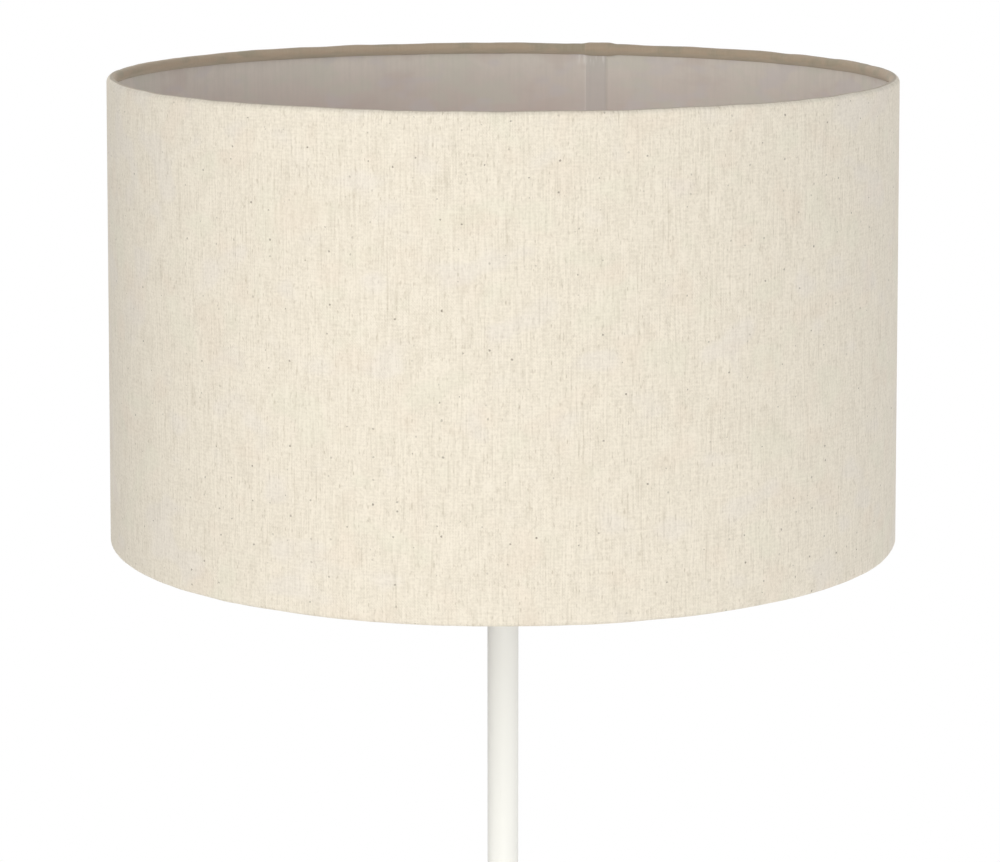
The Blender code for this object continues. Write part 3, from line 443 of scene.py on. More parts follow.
@dataclass(frozen=True)
class PowderCoat(Finish):
    """Satin white powder coat on metal, with its faint orange peel and a little dust."""

    dust: Colour = (0.55, 0.52, 0.47)

    def settings(self) -> dict[str, object]:
        """A satin sheen."""
        return {"Specular IOR Level": 0.30}

    def wire(self, surface: Surface) -> None:
        """Adds the orange peel, a slow drift of the colour and a few specks.

        Args:
            surface: The material's tree.
        """
        place = surface.place()
        drift = surface.noise(place, (70, 70, 160), 2.0)
        peel = surface.noise(place, (1.3,) * 3, 2.0, 4.0)
        scuffs = surface.noise(place, (4, 4, 26), 4.0, 9.0).rise(0.66, 0.78)
        surface.coat(drift.rise(0.35, 0.70) * 0.7, self.shaded(0.035))
        surface.coat(scuffs * 0.10, self.dust)
        surface.coat(surface.dots(place, 11 * MM, 0.32 * MM, 0.30) * 0.5, self.dust)
        surface.feed("Base Color", surface.base)
        surface.feed("Roughness", self.roughness + (drift - 0.5) * 0.16 + scuffs * 0.10)
        surface.relief(peel, 0.05 * MM, 0.35)


@dataclass(frozen=True)
class PaintedWood(Finish):
    """Turned wood under white paint: long open grain, a few pores and scuffs by the foot."""

    pore: Colour = (0.50, 0.45, 0.37)
    bare: Colour = (0.58, 0.44, 0.28)

    def wire(self, surface: Surface) -> None:
        """Runs the grain along the leg and wears the paint towards the foot.

        Args:
            surface: The material's tree.
        """
        wood = surface.wrap()
        bow = surface.noise(wood, (30, 240, 1), 1.0, 2.0) * (9 * MM)
        bent = surface.vector("ADD", wood, surface.node("ShaderNodeCombineXYZ", {}, {"X": bow}))
        grain = surface.noise(bent, (1.5, 110, 1), 3.0, 6.0)
        rings = surface.noise(bent, (6, 300, 1), 1.0, 12.0)
        pores = surface.noise(bent, (0.5, 9, 1), 1.0, 18.0).rise(0.66, 0.80)
        surface.coat(grain.rise(0.42, 0.75) * 0.55, self.shaded(0.09))
        surface.coat(rings.rise(0.50, 0.66) * 0.30, self.shaded(0.06))
        surface.coat(pores * 0.35, self.pore)
        low = wood.axis("Y").rise(0.70, 0.86)
        chips = surface.noise(wood, (5, 14, 1), 5.0, 31.0).rise(0.69, 0.72)
        surface.coat(chips * low, self.bare)
        surface.feed("Base Color", surface.base)
        surface.feed("Roughness", self.roughness + grain * 0.10 + chips * low * 0.15)
        surface.relief(rings * 0.8 - grain * 0.7 - pores * 0.9 - chips * low, 0.12 * MM, 0.6)


@dataclass(frozen=True)
class Moulded(Finish):
    """A moulded part, such as plastic, nylon or rubber, with a fine grain off its tool."""

    grain: float = 0.5
    depth: float = 0.03 * MM
    specular: float = 0.5
    dust: Colour = (0.60, 0.57, 0.52)

    def settings(self) -> dict[str, object]:
        """How strongly the part's skin shines."""
        return {"Specular IOR Level": self.specular}

    def wire(self, surface: Surface) -> None:
        """Adds the tool's grain, a slow drift of the colour and a trace of dust.

        Args:
            surface: The material's tree.
        """
        place = surface.place()
        drift = surface.noise(place, (14,) * 3, 2.0, 2.0)
        grain = surface.noise(place, (self.grain,) * 3, 2.0, 8.0)
        streaks = surface.noise(place, (7, 7, 1.2), 3.0, 14.0).rise(0.60, 0.76)
        surface.coat(drift.rise(0.36, 0.66) * 0.8, self.shaded(0.07))
        surface.coat(streaks * 0.09, self.dust)
        surface.feed("Base Color", surface.base)
        surface.feed("Roughness", self.roughness + (drift - 0.5) * 0.18 + grain * 0.06)
        surface.relief(grain, self.depth, 0.5)


@dataclass(frozen=True)
class Metal(Finish):
    """Bare or plated metal with drawn lines, dull spots and a few fine pits."""

    dull: Colour = (0.42, 0.41, 0.39)

    def settings(self) -> dict[str, object]:
        """Metal all through."""
        return {"Metallic": 1.0}

    def wire(self, surface: Surface) -> None:
        """Clouds the plating, spots it and scores it with fine lines.

        Args:
            surface: The material's tree.
        """
        place = surface.place()
        cloud = surface.noise(place, (9,) * 3, 3.0, 1.0)
        lines = surface.noise(place, (6, 6, 0.35), 2.0, 5.0)
        pits = surface.dots(place, 3.2 * MM, 0.28 * MM, 0.4)
        surface.coat(cloud.rise(0.46, 0.72) * 0.55, self.dull)
        surface.coat(pits * 0.6, self.dull)
        surface.feed("Base Color", surface.base)
        surface.feed("Roughness", self.roughness + (cloud - 0.5) * 0.30 + lines * 0.08 + pits * 0.2)
        surface.relief(lines * 0.5 - pits, 0.03 * MM, 0.45)


@dataclass(frozen=True)
class Glass(Finish):
    """Solid-coloured glass, such as a bulb's opal skin, under a clear gloss."""

    def settings(self) -> dict[str, object]:
        """The gloss over the colour."""
        return {"Coat Weight": 0.6, "Coat Roughness": 0.06}

    def wire(self, surface: Surface) -> None:
        """Clouds the colour faintly and lets the skin ripple.

        Args:
            surface: The material's tree.
        """
        place = surface.place()
        cloud = surface.noise(place, (16, 16, 10), 3.0, 3.0)
        ripple = surface.noise(place, (7,) * 3, 1.0, 8.0)
        surface.feed("Base Color", surface.mix(cloud.rise(0.35, 0.70), self.colour, self.shaded(0.06)))
        surface.feed("Roughness", self.roughness + (cloud - 0.5) * 0.12)
        surface.relief(ripple, 0.05 * MM, 0.3)


@dataclass(frozen=True)
class StudioFloor(Finish):
    """The pale, even floor of a photo studio."""

    def wire(self, surface: Surface) -> None:
        """Lets the paper's colour drift a little.

        Args:
            surface: The material's tree.
        """
        drift = surface.noise(surface.place(), (500, 500, 1000), 2.0)
        surface.feed("Base Color", surface.mix(drift, self.colour, self.shaded(0.03)))
        surface.feed("Roughness", self.roughness + (drift - 0.5) * 0.1)


LINEN = Linen("linen", (0.784, 0.722, 0.616), 0.88)
LINER = LinerFilm("shade_liner", (0.655, 0.61, 0.55), 0.55)
WHITE_PAINT = PowderCoat("white_paint", (0.86, 0.855, 0.81), 0.50)
PAINTED_WOOD = PaintedWood("painted_wood", (0.87, 0.855, 0.81), 0.46)
WHITE_PLASTIC = Moulded("white_plastic", (0.87, 0.86, 0.82), 0.34)
NYLON = Moulded("nylon", (0.76, 0.75, 0.70), 0.48)
RUBBER = Moulded("rubber", (0.27, 0.265, 0.26), 0.72, 0.9, 0.06 * MM, 0.3)
BROWN_LEAD = Moulded("brown_insulation", (0.17, 0.085, 0.045), 0.42)
BLUE_LEAD = Moulded("blue_insulation", (0.04, 0.11, 0.34), 0.42)
STEEL = Metal("plated_steel", (0.66, 0.66, 0.67), 0.24)
BRASS = Metal("brass", (0.80, 0.62, 0.31), 0.28, (0.52, 0.38, 0.18))
OPAL = Glass("opal_glass", (0.90, 0.90, 0.88), 0.16)
BLACK_GLASS = Glass("black_glass", (0.02, 0.02, 0.025), 0.12)
FLOOR = StudioFloor("floor", (0.92, 0.915, 0.905), 0.6)


# ---- Sections and plain meshes ----
class Rim(Enum):
    """How a turned section ends."""

    POLES = "on the axis at both ends"
    LOOP = "back at its first point"


def arc(centre: Point, radius: float, start: float, end: float, steps: int) -> list[Point]:
    """Points on an arc, both ends included.

    Args:
        centre: The arc's middle.
        radius: Its radius.
        start: The first angle, in degrees.
        end: The last angle, in degrees.
        steps: How many chords it has.

    Returns:
        The points, one more than the steps.
    """
    turns = [math.radians(start + (end - start) * i / steps) for i in range(steps + 1)]
    return [(centre[0] + radius * math.cos(a), centre[1] + radius * math.sin(a)) for a in turns]


def eased(corners: Sequence[Corner], rim: Rim, steps: int = 4) -> list[Point]:
    """A section with its corners rounded.

    Args:
        corners: (radius, height) or (radius, height, fillet in mm) in order.
        rim: How the section ends.
        steps: The chords in each fillet.

    Returns:
        The section's points.
    """
    points, count = [], len(corners)
    for i, (x, z, *fillet) in enumerate(corners):
        here = Vector((x, z))
        if not fillet or (rim is Rim.POLES and i in (0, count - 1)):
            points.append((x, z))
            continue
        before, after = (Vector(corners[j % count][:2]) - here for j in (i - 1, i + 1))
        half = 0.5 * (math.pi - before.angle(after))
        reach = min(fillet[0] * MM * math.tan(half), 0.48 * before.length, 0.48 * after.length)
        start, end = here + before.normalized() * reach, here + after.normalized() * reach
        for step in range(steps + 1):
            t = step / steps
            points.append(tuple(start * (1 - t) ** 2 + here * (2 * t * (1 - t)) + end * t**2))
    return points


def sleeve(outer: float, bore: float, low: float, high: float, edge: float) -> list[Corner]:
    """The section of a plain sleeve whose four edges are eased by this many millimetres."""
    return [(outer, high, edge), (outer, low, edge), (bore, low, edge), (bore, high, edge)]


def spaced(points: Sequence[Point], step: float, rim: Rim) -> list[Point]:
    """The same section with no two neighbours further apart than a step.

    Args:
        points: The section's points.
        step: The widest space wanted.
        rim: How the section ends.

    Returns:
        The points with more between them.
    """
    ends = [*points[1:], points[0]] if rim is Rim.LOOP else points[1:]
    filled = []
    for (r0, z0), (r1, z1) in zip(points, ends):
        count = max(1, math.ceil(math.hypot(r1 - r0, z1 - z0) / step))
        filled += [(r0 + (r1 - r0) * i / count, z0 + (z1 - z0) * i / count) for i in range(count)]
    return filled if rim is Rim.LOOP else [*filled, points[-1]]


def section_mesh(
    name: str, points: Sequence[Point], marks: Mapping[str, Sequence[float]]
) -> bpy.types.Mesh:
    """A section as loose points, with its length so far and other numbers kept on them.

    Args:
        name: The mesh's name.
        points: The section's (radius, height) points.
        marks: More numbers for each point, by name.

    Returns:
        The mesh that a tree reads.
    """
    mesh = bpy.data.meshes.new(name)
    mesh.from_pydata([(radius, 0, height) for radius, height in points], [], [])
    run = [0.0]
    for (r0, z0), (r1, z1) in zip(points, points[1:]):
        run.append(run[-1] + math.hypot(r1 - r0, z1 - z0))
    for key, values in {"run": run, **marks}.items():
        mesh.attributes.new(key, "FLOAT", "POINT").data.foreach_set("value", list(values))
    return mesh


def link(name: str, mesh: bpy.types.Mesh, finish: Finish | None = None) -> Solid:
    """Links a new object for a mesh, in one finish.

    Args:
        name: The object's name.
        mesh: Its mesh.
        finish: What it is dressed in, if not yet.

    Returns:
        The object.
    """
    obj = bpy.data.objects.new(name, mesh)
    bpy.context.scene.collection.objects.link(obj)
    if finish:
        mesh.materials.clear()
        mesh.materials.append(finish.material())
    return obj


def settle(obj: Solid, keep_angle: float = KEEP_ANGLE) -> Solid:
    """Applies an object's modifiers, merges its doubles and turns its faces outwards.

    Args:
        obj: The object, whose mesh is closed.
        keep_angle: Edges sharper than this stay sharp, in degrees.

    Returns:
        The same object, with a plain mesh.
    """
    graph = bpy.context.evaluated_depsgraph_get()
    mesh = bpy.data.meshes.new_from_object(
        obj.evaluated_get(graph), preserve_all_data_layers=True, depsgraph=graph
    )
    obj.modifiers.clear()
    obj.data = mesh
    mesh.name = obj.name
    shape = bmesh.new()
    shape.from_mesh(mesh)
    bmesh.ops.remove_doubles(shape, verts=shape.verts, dist=MERGE)
    bmesh.ops.recalc_face_normals(shape, faces=shape.faces)
    shape.to_mesh(mesh)
    shape.free()
    mesh.shade_smooth()
    mesh.set_sharp_from_angle(angle=math.radians(keep_angle))
    return obj


def shape_object(
    name: str, build: Callable[[bmesh.types.BMesh], None], finish: Finish | None = None
) -> Solid:
    """An object from a shape built in bmesh.

    Args:
        name: The object's name.
        build: Adds the shape's geometry.
        finish: What it is dressed in.

    Returns:
        The object.
    """
    mesh, shape = bpy.data.meshes.new(name), bmesh.new()
    build(shape)
    bmesh.ops.recalc_face_normals(shape, faces=shape.faces)
    shape.to_mesh(mesh)
    shape.free()
    return link(name, mesh, finish)


def plate(
    name: str, outline: Sequence[Point], low: float, high: float, edge: float = 0.0,
    finish: Finish | None = None,
) -> Solid:
    """A plate with an outline in XZ, from low to high along Y, its edges rounded.

    Args:
        name: The object's name.
        outline: The (x, z) points of the outline.
        low: Where it starts along Y.
        high: Where it ends along Y.
        edge: The radius of its edges.
        finish: What it is dressed in.

    Returns:
        The plate.
    """

    def build(shape: bmesh.types.BMesh) -> None:
        """Extrudes the outline and rounds its two rims.

        Args:
            shape: The shape that it goes into.
        """
        face = shape.faces.new([shape.verts.new((x, low, z)) for x, z in outline])
        made = bmesh.ops.extrude_face_region(shape, geom=[face])["geom"]
        far = [one for one in made if isinstance(one, bmesh.types.BMVert)]
        bmesh.ops.translate(shape, verts=far, vec=(0, high - low, 0))
        if edge:
            sharp = [one for one in shape.edges if abs(one.verts[0].co.y - one.verts[1].co.y) < 1e-7]
            bmesh.ops.bevel(shape, geom=sharp, offset=edge, segments=3, profile=0.6, affect="EDGES")

    return shape_object(name, build, finish)


def join_and_cut(
    body: Solid, joined: Sequence[Solid], cutters: Sequence[Solid]
) -> Solid:
    """Joins solids to a body, then cuts others away, and removes them all.

    Args:
        body: The solid that stays.
        joined: What is added to it.
        cutters: What is taken away.

    Returns:
        The body.
    """
    for operation, others in (("UNION", joined), ("DIFFERENCE", cutters)):
        for other in others:
            step = body.modifiers.new(other.name, "BOOLEAN")
            step.operation, step.solver, step.object = operation, "EXACT", other
    settle(body)
    for other in (*joined, *cutters):
        bpy.data.objects.remove(other)
    return body


def drill(name: str, radius: float, start: Sequence[float], end: Sequence[float]) -> Solid:
    """A round cutter from one point to another.

    Args:
        name: Its name.
        radius: Its radius.
        start: One end of its axis.
        end: The other end.

    Returns:
        The cutter.
    """
    first, second = Vector(start), Vector(end)
    turn = (second - first).to_track_quat("Z", "Y").to_matrix().to_4x4()
    matrix = Matrix.Translation((first + second) / 2) @ turn

    def build(shape: bmesh.types.BMesh) -> None:
        """One closed cylinder."""
        bmesh.ops.create_cone(
            shape, cap_ends=True, segments=32, radius1=radius, radius2=radius,
            depth=(second - first).length, matrix=matrix,
        )

    return shape_object(name, build)


def hand_over(obj: Solid, finish: Finish, body: str, *nodes: str) -> Solid:
    """Hands a finished piece to its body and hides the frame nodes that it stands for.

    Args:
        obj: The piece, in place.
        finish: Its finish, whose slot is logged.
        body: The body that carries it.
        nodes: The frame nodes that it replaces.

    Returns:
        The piece.
    """
    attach(obj, body)
    if nodes:
        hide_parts(*nodes)
    LOG.info("%s: %d faces on %s, in %s", obj.name, len(obj.data.polygons), body, finish.slot)
    return obj


@dataclass(frozen=True)
class Extent:
    """How far a frame node reaches."""

    low: Vector
    high: Vector

    @classmethod
    def of(cls, node: str) -> "Extent":
        """The extent of this node."""
        return cls(*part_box(node))

    @property
    def radius(self) -> float:
        """Half its width, which is the radius of a turned node."""
        return 0.5 * (self.high.x - self.low.x)

    @property
    def middle(self) -> float:
        """The middle of its width."""
        return 0.5 * (self.low.x + self.high.x)

    @property
    def turned(self) -> Corner:
        """Its lowest and greatest heights and its radius."""
        return self.bottom, self.top, self.radius

    @property
    def bottom(self) -> float:
        """Its lowest height."""
        return self.low.z

    @property
    def top(self) -> float:
        """Its greatest height."""
        return self.high.z


# ---- Geometry Nodes ----
class Grower(Bench):
    """A Geometry Nodes tree with named inputs, whose result is kept as a plain mesh."""

    def __init__(self, name: str, inputs: Mapping[str, float | int]) -> None:
        """Makes the tree, with one number input for each name and its usual value.

        Args:
            name: The tree's name.
            inputs: The usual value of each size, by its name.
        """
        super().__init__(bpy.data.node_groups.new(name, "GeometryNodeTree"))
        face = self.tree.interface
        face.new_socket("Geometry", in_out="INPUT", socket_type="NodeSocketGeometry")
        self.identifiers = {}
        for label, value in inputs.items():
            kind = "NodeSocketInt" if isinstance(value, int) else "NodeSocketFloat"
            made = face.new_socket(label, in_out="INPUT", socket_type=kind)
            made.default_value = value
            self.identifiers[label] = made.identifier
        finish = face.new_socket("Finish", in_out="INPUT", socket_type="NodeSocketMaterial")
        self.identifiers["Finish"] = finish.identifier
        face.new_socket("Geometry", in_out="OUTPUT", socket_type="NodeSocketGeometry")
        self.entry = self.tree.nodes.new("NodeGroupInput")

    def given(self, label: str) -> Signal:
        """One of the tree's inputs."""
        return Signal(self, self.entry.outputs[label])

    def close(self, geometry: Signal) -> None:
        """Ends the tree: instances made real, and the finish set.

        Args:
            geometry: What the tree has made.
        """
        real = self.node("GeometryNodeRealizeInstances", {}, {"Geometry": geometry})
        dressed = self.node(
            "GeometryNodeSetMaterial", {}, {"Geometry": real, "Material": self.given("Finish")}
        )
        self.tree.links.new(dressed.socket, self.tree.nodes.new("NodeGroupOutput").inputs[0])

    def grow(
        self, name: str, seed: bpy.types.Mesh, finish: Finish, values: Mapping[str, float] = {},
        keep_angle: float = KEEP_ANGLE,
    ) -> Solid:
        """Runs the tree once on a seed mesh.

        Args:
            name: The piece's name.
            seed: The mesh that the tree starts from.
            finish: What the piece is dressed in.
            values: Numbers for the tree's inputs.
            keep_angle: Edges sharper than this stay sharp, in degrees.

        Returns:
            The piece, with a plain mesh.
        """
        obj = bpy.data.objects.new(name, seed)
        step = obj.modifiers.new("grow", "NODES")
        step.node_group = self.tree
        for label, value in {**values, "Finish": finish.material()}.items():
            step[self.identifiers[label]] = value
        bpy.context.scene.collection.objects.link(obj)
        return settle(obj, keep_angle)


class Wrapper(Grower):
    """Wraps a section round the Z axis as one closed wall, by a rule that a subclass gives."""

    def __init__(self, name: str, inputs: Mapping[str, float | int]) -> None:
        """Wires the grid of the wall, its rule and its wrap coordinates.

        Args:
            name: The tree's name.
            inputs: The sizes that the rule reads.
        """
        super().__init__(name, {"Around": 96, **inputs})
        section = self.given("Geometry")
        count = self.node(
            "GeometryNodeAttributeDomainSize", {"component": "MESH"}, {"Geometry": section}, "Point Count"
        )
        index = self.node("GeometryNodeInputIndex")
        column = self.maths("FLOOR", index / count)
        self.row = index - column * count
        self.share = column / self.given("Around")
        sizes = {"Vertices X": self.given("Around") + 1, "Vertices Y": count}
        grid = self.node("GeometryNodeMeshGrid", {}, sizes)
        place = self.read("FLOAT_VECTOR", self.node("GeometryNodeInputPosition"))
        self.radius, self.height = place.axis("X"), place.axis("Z")
        angle, radius, height, kept = self.rule()
        parts = {"X": radius * angle.cosine(), "Y": radius * angle.sine(), "Z": height}
        target = self.node("ShaderNodeCombineXYZ", {}, parts)
        wrap = self.node("ShaderNodeCombineXYZ", {}, {"X": angle * self.reach(), "Y": self.mark("run")})
        on_points = {"data_type": "FLOAT_VECTOR", "domain": "POINT"}
        kept = {"wrap": self.node("GeometryNodeFieldOnDomain", on_points, {"Value": wrap}), **kept}
        for key, value in kept.items():
            kind = {"data_type": "FLOAT2", "domain": "CORNER"} if key == "wrap" else {"data_type": "FLOAT"}
            grid = self.node(
                "GeometryNodeStoreNamedAttribute", kind, {"Geometry": grid, "Name": key, "Value": value}
            )
        placed = self.node("GeometryNodeSetPosition", {}, {"Geometry": grid, "Position": target})
        self.close(self.node("GeometryNodeMergeByDistance", {}, {"Geometry": placed, "Distance": MERGE}))

    def read(self, kind: str, value: Signal) -> Signal:
        """What this field is on the section's point for the wall's row."""
        inputs = {"Geometry": self.given("Geometry"), "Value": value, "Index": self.row}
        return self.node("GeometryNodeSampleIndex", {"data_type": kind}, inputs)

    def mark(self, name: str) -> Signal:
        """A number kept on the section."""
        named = self.node("GeometryNodeInputNamedAttribute", {"data_type": "FLOAT"}, {"Name": name})
        return self.read("FLOAT", named)

    def reach(self) -> Signal:
        """The radius at which the wrap coordinates are true to size."""
        raise NotImplementedError

    def rule(self) -> tuple[Signal, Signal, Signal, dict[str, Signal]]:
        """The wall's angle, radius and height at a point, and more numbers to keep on it."""
        raise NotImplementedError


class TurnedWall(Wrapper):
    """A turned wall, which may have flutes round it or a screw thread."""

    def __init__(self) -> None:
        """Names the sizes of the flutes and of the thread."""
        super().__init__(
            "turned_wall",
            {"Reach": 0.01, "Flutes": 0, "Flute Depth": 0.0, "Pitch": 1.0, "Thread Depth": 0.0},
        )

    def reach(self) -> Signal:
        """The wall's own radius."""
        return self.given("Reach")

    def rule(self) -> tuple[Signal, Signal, Signal, dict[str, Signal]]:
        """Cuts the flutes and the thread inwards from the section, where it is marked for them.

        Returns:
            The angle, the radius and the height, and nothing more to keep.
        """
        angle = self.share * math.tau
        flute = 0.5 - (angle * self.given("Flutes")).cosine() * 0.5
        helix = self.height / self.given("Pitch") * math.tau - angle
        groove = (0.5 - helix.cosine() * 0.5).rise(0.08, 0.92)
        depth = flute * self.given("Flute Depth") + groove * self.given("Thread Depth")
        return angle, self.radius - depth * self.mark("relief"), self.height, {}


class DrumWall(Wrapper):
    """A cloth or film wall whose ends lap over each other, with edges that waver a little."""

    def __init__(self) -> None:
        """Names the sizes of the lap and of the wavering edges."""
        sizes = {
            "Reach": 0.22, "Crowding": 0.8, "Lap Angle": 0.0, "Lap Width": 0.013, "Lap Rise": 0.0006,
            "Lap Ease": 0.0004, "Waver": 0.0, "Waver Length": 0.03,
        }
        super().__init__("drum_wall", sizes)

    def reach(self) -> Signal:
        """The drum's usual radius."""
        return self.given("Reach")

    def rule(self) -> tuple[Signal, Signal, Signal, dict[str, Signal]]:
        """Steps the wall out over the lap, and lifts and swells its edges by noise.

        Returns:
            The angle, the radius and the height, and the marks that the finishes read.
        """
        turn = self.share * math.tau
        swing = turn - self.given("Crowding") * turn.sine()
        angle = self.given("Lap Angle") - swing
        past = swing - self.maths("GREATER_THAN", self.share, 0.5) * math.tau
        along = past * self.given("Reach")
        width, ease = self.given("Lap Width"), self.given("Lap Ease")
        lap = along.rise(ease * -1, ease) * along.rise(width + ease, width - ease)
        ring = {"X": angle.cosine(), "Y": angle.sine(), "Z": self.mark("side") * 4}
        round_it = self.node("ShaderNodeCombineXYZ", {}, ring)
        size = self.given("Reach") / self.given("Waver Length")
        waves = self.node(
            "ShaderNodeTexNoise", {"noise_dimensions": "4D"},
            {"Vector": round_it, "W": 3.7, "Scale": size, "Detail": 2.0, "Roughness": 0.45},
        )
        swell = self.node(
            "ShaderNodeTexNoise", {"noise_dimensions": "4D"},
            {"Vector": round_it, "W": 11.2, "Scale": size * 1.7, "Detail": 1.0},
        )
        edge = self.mark("edge") * self.given("Waver")
        out = lap * self.given("Lap Rise")
        radius = self.radius + self.mark("out_r") * out + (swell - 0.5) * edge * 1.6
        height = self.height + self.mark("out_z") * out + (waves - 0.5) * edge * 4.0
        return angle, radius, height, {"past_lap": along, "hem": self.mark("hem")}


class WireRun(Grower):
    """A round wire along a route, with filled ends."""

    def __init__(self) -> None:
        """Wires the route's curve and its round section."""
        super().__init__("wire_run", {"Radius": 0.001, "Sides": 14})
        route = self.node("GeometryNodeMeshToCurve", {}, {"Mesh": self.given("Geometry")})
        sizes = {"Resolution": self.given("Sides"), "Radius": self.given("Radius")}
        ring = self.node("GeometryNodeCurvePrimitiveCircle", {"mode": "RADIUS"}, sizes)
        inputs = {"Curve": route, "Profile Curve": ring, "Fill Caps": True}
        self.close(self.node("GeometryNodeCurveToMesh", {}, inputs))

    def along(
        self, name: str, route: Sequence[Sequence[float]], radius: float, finish: Finish, ring: bool = False
    ) -> Solid:
        """A wire along a route.

        Args:
            name: The piece's name.
            route: The points that it follows.
            radius: The wire's radius.
            finish: What it is dressed in.
            ring: Whether its ends meet.

        Returns:
            The wire.
        """
        count = len(route)
        mesh = bpy.data.meshes.new(name)
        mesh.from_pydata(route, [(i, (i + 1) % count) for i in range(count if ring else count - 1)], [])
        return self.grow(name, mesh, finish, {"Radius": radius})


class RoundTheStem(Grower):
    """The same part, repeated at equal angles round the stem."""

    def __init__(self) -> None:
        """Wires one point for each copy, turned about the origin."""
        super().__init__("round_the_stem", {"Count": 3, "First": 0.0})
        points = self.node("GeometryNodePoints", {}, {"Count": self.given("Count")})
        angle = self.given("First") + self.node("GeometryNodeInputIndex") * math.tau / self.given("Count")
        turn = self.node("ShaderNodeCombineXYZ", {}, {"Z": angle})
        inputs = {"Points": points, "Instance": self.given("Geometry"), "Rotation": turn}
        self.close(self.node("GeometryNodeInstanceOnPoints", {}, inputs))

    def repeat(
        self, name: str, part: Solid, finish: Finish, count: int, first: float = 0.0
    ) -> Solid:
        """Repeats a part and removes the first one.

        Args:
            name: The new piece's name.
            part: The part as it stands in its first place, before the first turn.
            finish: What the piece is dressed in.
            count: How many there are.
            first: The angle of the first one.

        Returns:
            The piece with them all.
        """
        mesh = part.data
        bpy.data.objects.remove(part)
        return self.grow(name, mesh, finish, {"Count": count, "First": first})


@dataclass(frozen=True)
class Relief:
    """Flutes or a thread on part of a turned piece."""

    low: float
    high: float
    least_radius: float = 0.0
    flutes: int = 0
    flute_depth: float = 0.0
    pitch: float = 1.0
    thread_depth: float = 0.0
    fade: float = 0.6 * MM

    def mark(self, radius: float, height: float) -> float:
        """How fully the relief is cut at a point of the section, from 0 to 1."""
        inside = min(height - self.low, self.high - height) / self.fade
        return max(0.0, min(1.0, inside)) if radius >= self.least_radius else 0.0


class Workshop:
    """The tools that every sub-assembly shares."""

    def __init__(self) -> None:
        """Wires each tree once."""
        self.walls, self.drums = TurnedWall(), DrumWall()
        self.wires, self.rounds = WireRun(), RoundTheStem()

    def turn(
        self,
        name: str,
        corners: Sequence[Corner],
        finish: Finish,
        around: int = 72,
        relief: Relief | None = None,
        step: float = 1.0,
        matrix: Matrix | None = None,
    ) -> Solid:
        """Turns one piece about Z.

        Args:
            name: The piece's name.
            corners: Its section, as (radius, height) or (radius, height, fillet in mm).
            finish: What it is dressed in.
            around: How many faces go round it.
            relief: Flutes or a thread.
            step: The longest face wanted along the section.
            matrix: Where the turned piece is put, if not on the stem's own axis.

        Returns:
            The piece.
        """
        rim = Rim.POLES if corners[0][0] < MERGE else Rim.LOOP
        points = spaced(eased(corners, rim), step, rim)
        marks = [relief.mark(*point) if relief else 0.0 for point in points]
        if rim is Rim.LOOP:
            points, marks = [*points, points[0]], [*marks, marks[0]]
        values = {"Around": around, "Reach": max(radius for radius, _ in points)}
        if relief:
            values |= {"Flutes": relief.flutes, "Flute Depth": relief.flute_depth}
            values |= {"Pitch": relief.pitch, "Thread Depth": relief.thread_depth}
        seed = section_mesh(name, points, {"relief": marks})
        piece = self.walls.grow(name, seed, finish, values)
        if matrix:
            piece.data.transform(matrix)
        return piece

    def fit(
        self, node: str, ending: str, corners: Sequence[Corner], finish: Finish, body: str = "stand",
        **how: object,
    ) -> Solid:
        """Turns one piece and hands it over in the place of a frame node.

        Args:
            node: The frame node.
            ending: What the piece's name adds to the node's.
            corners: Its section.
            finish: What it is dressed in.
            body: The body that carries it.
            how: Whatever else turn is told.

        Returns:
            The piece.
        """
        return hand_over(self.turn(f"{node}_{ending}", corners, finish, **how), finish, body, node)


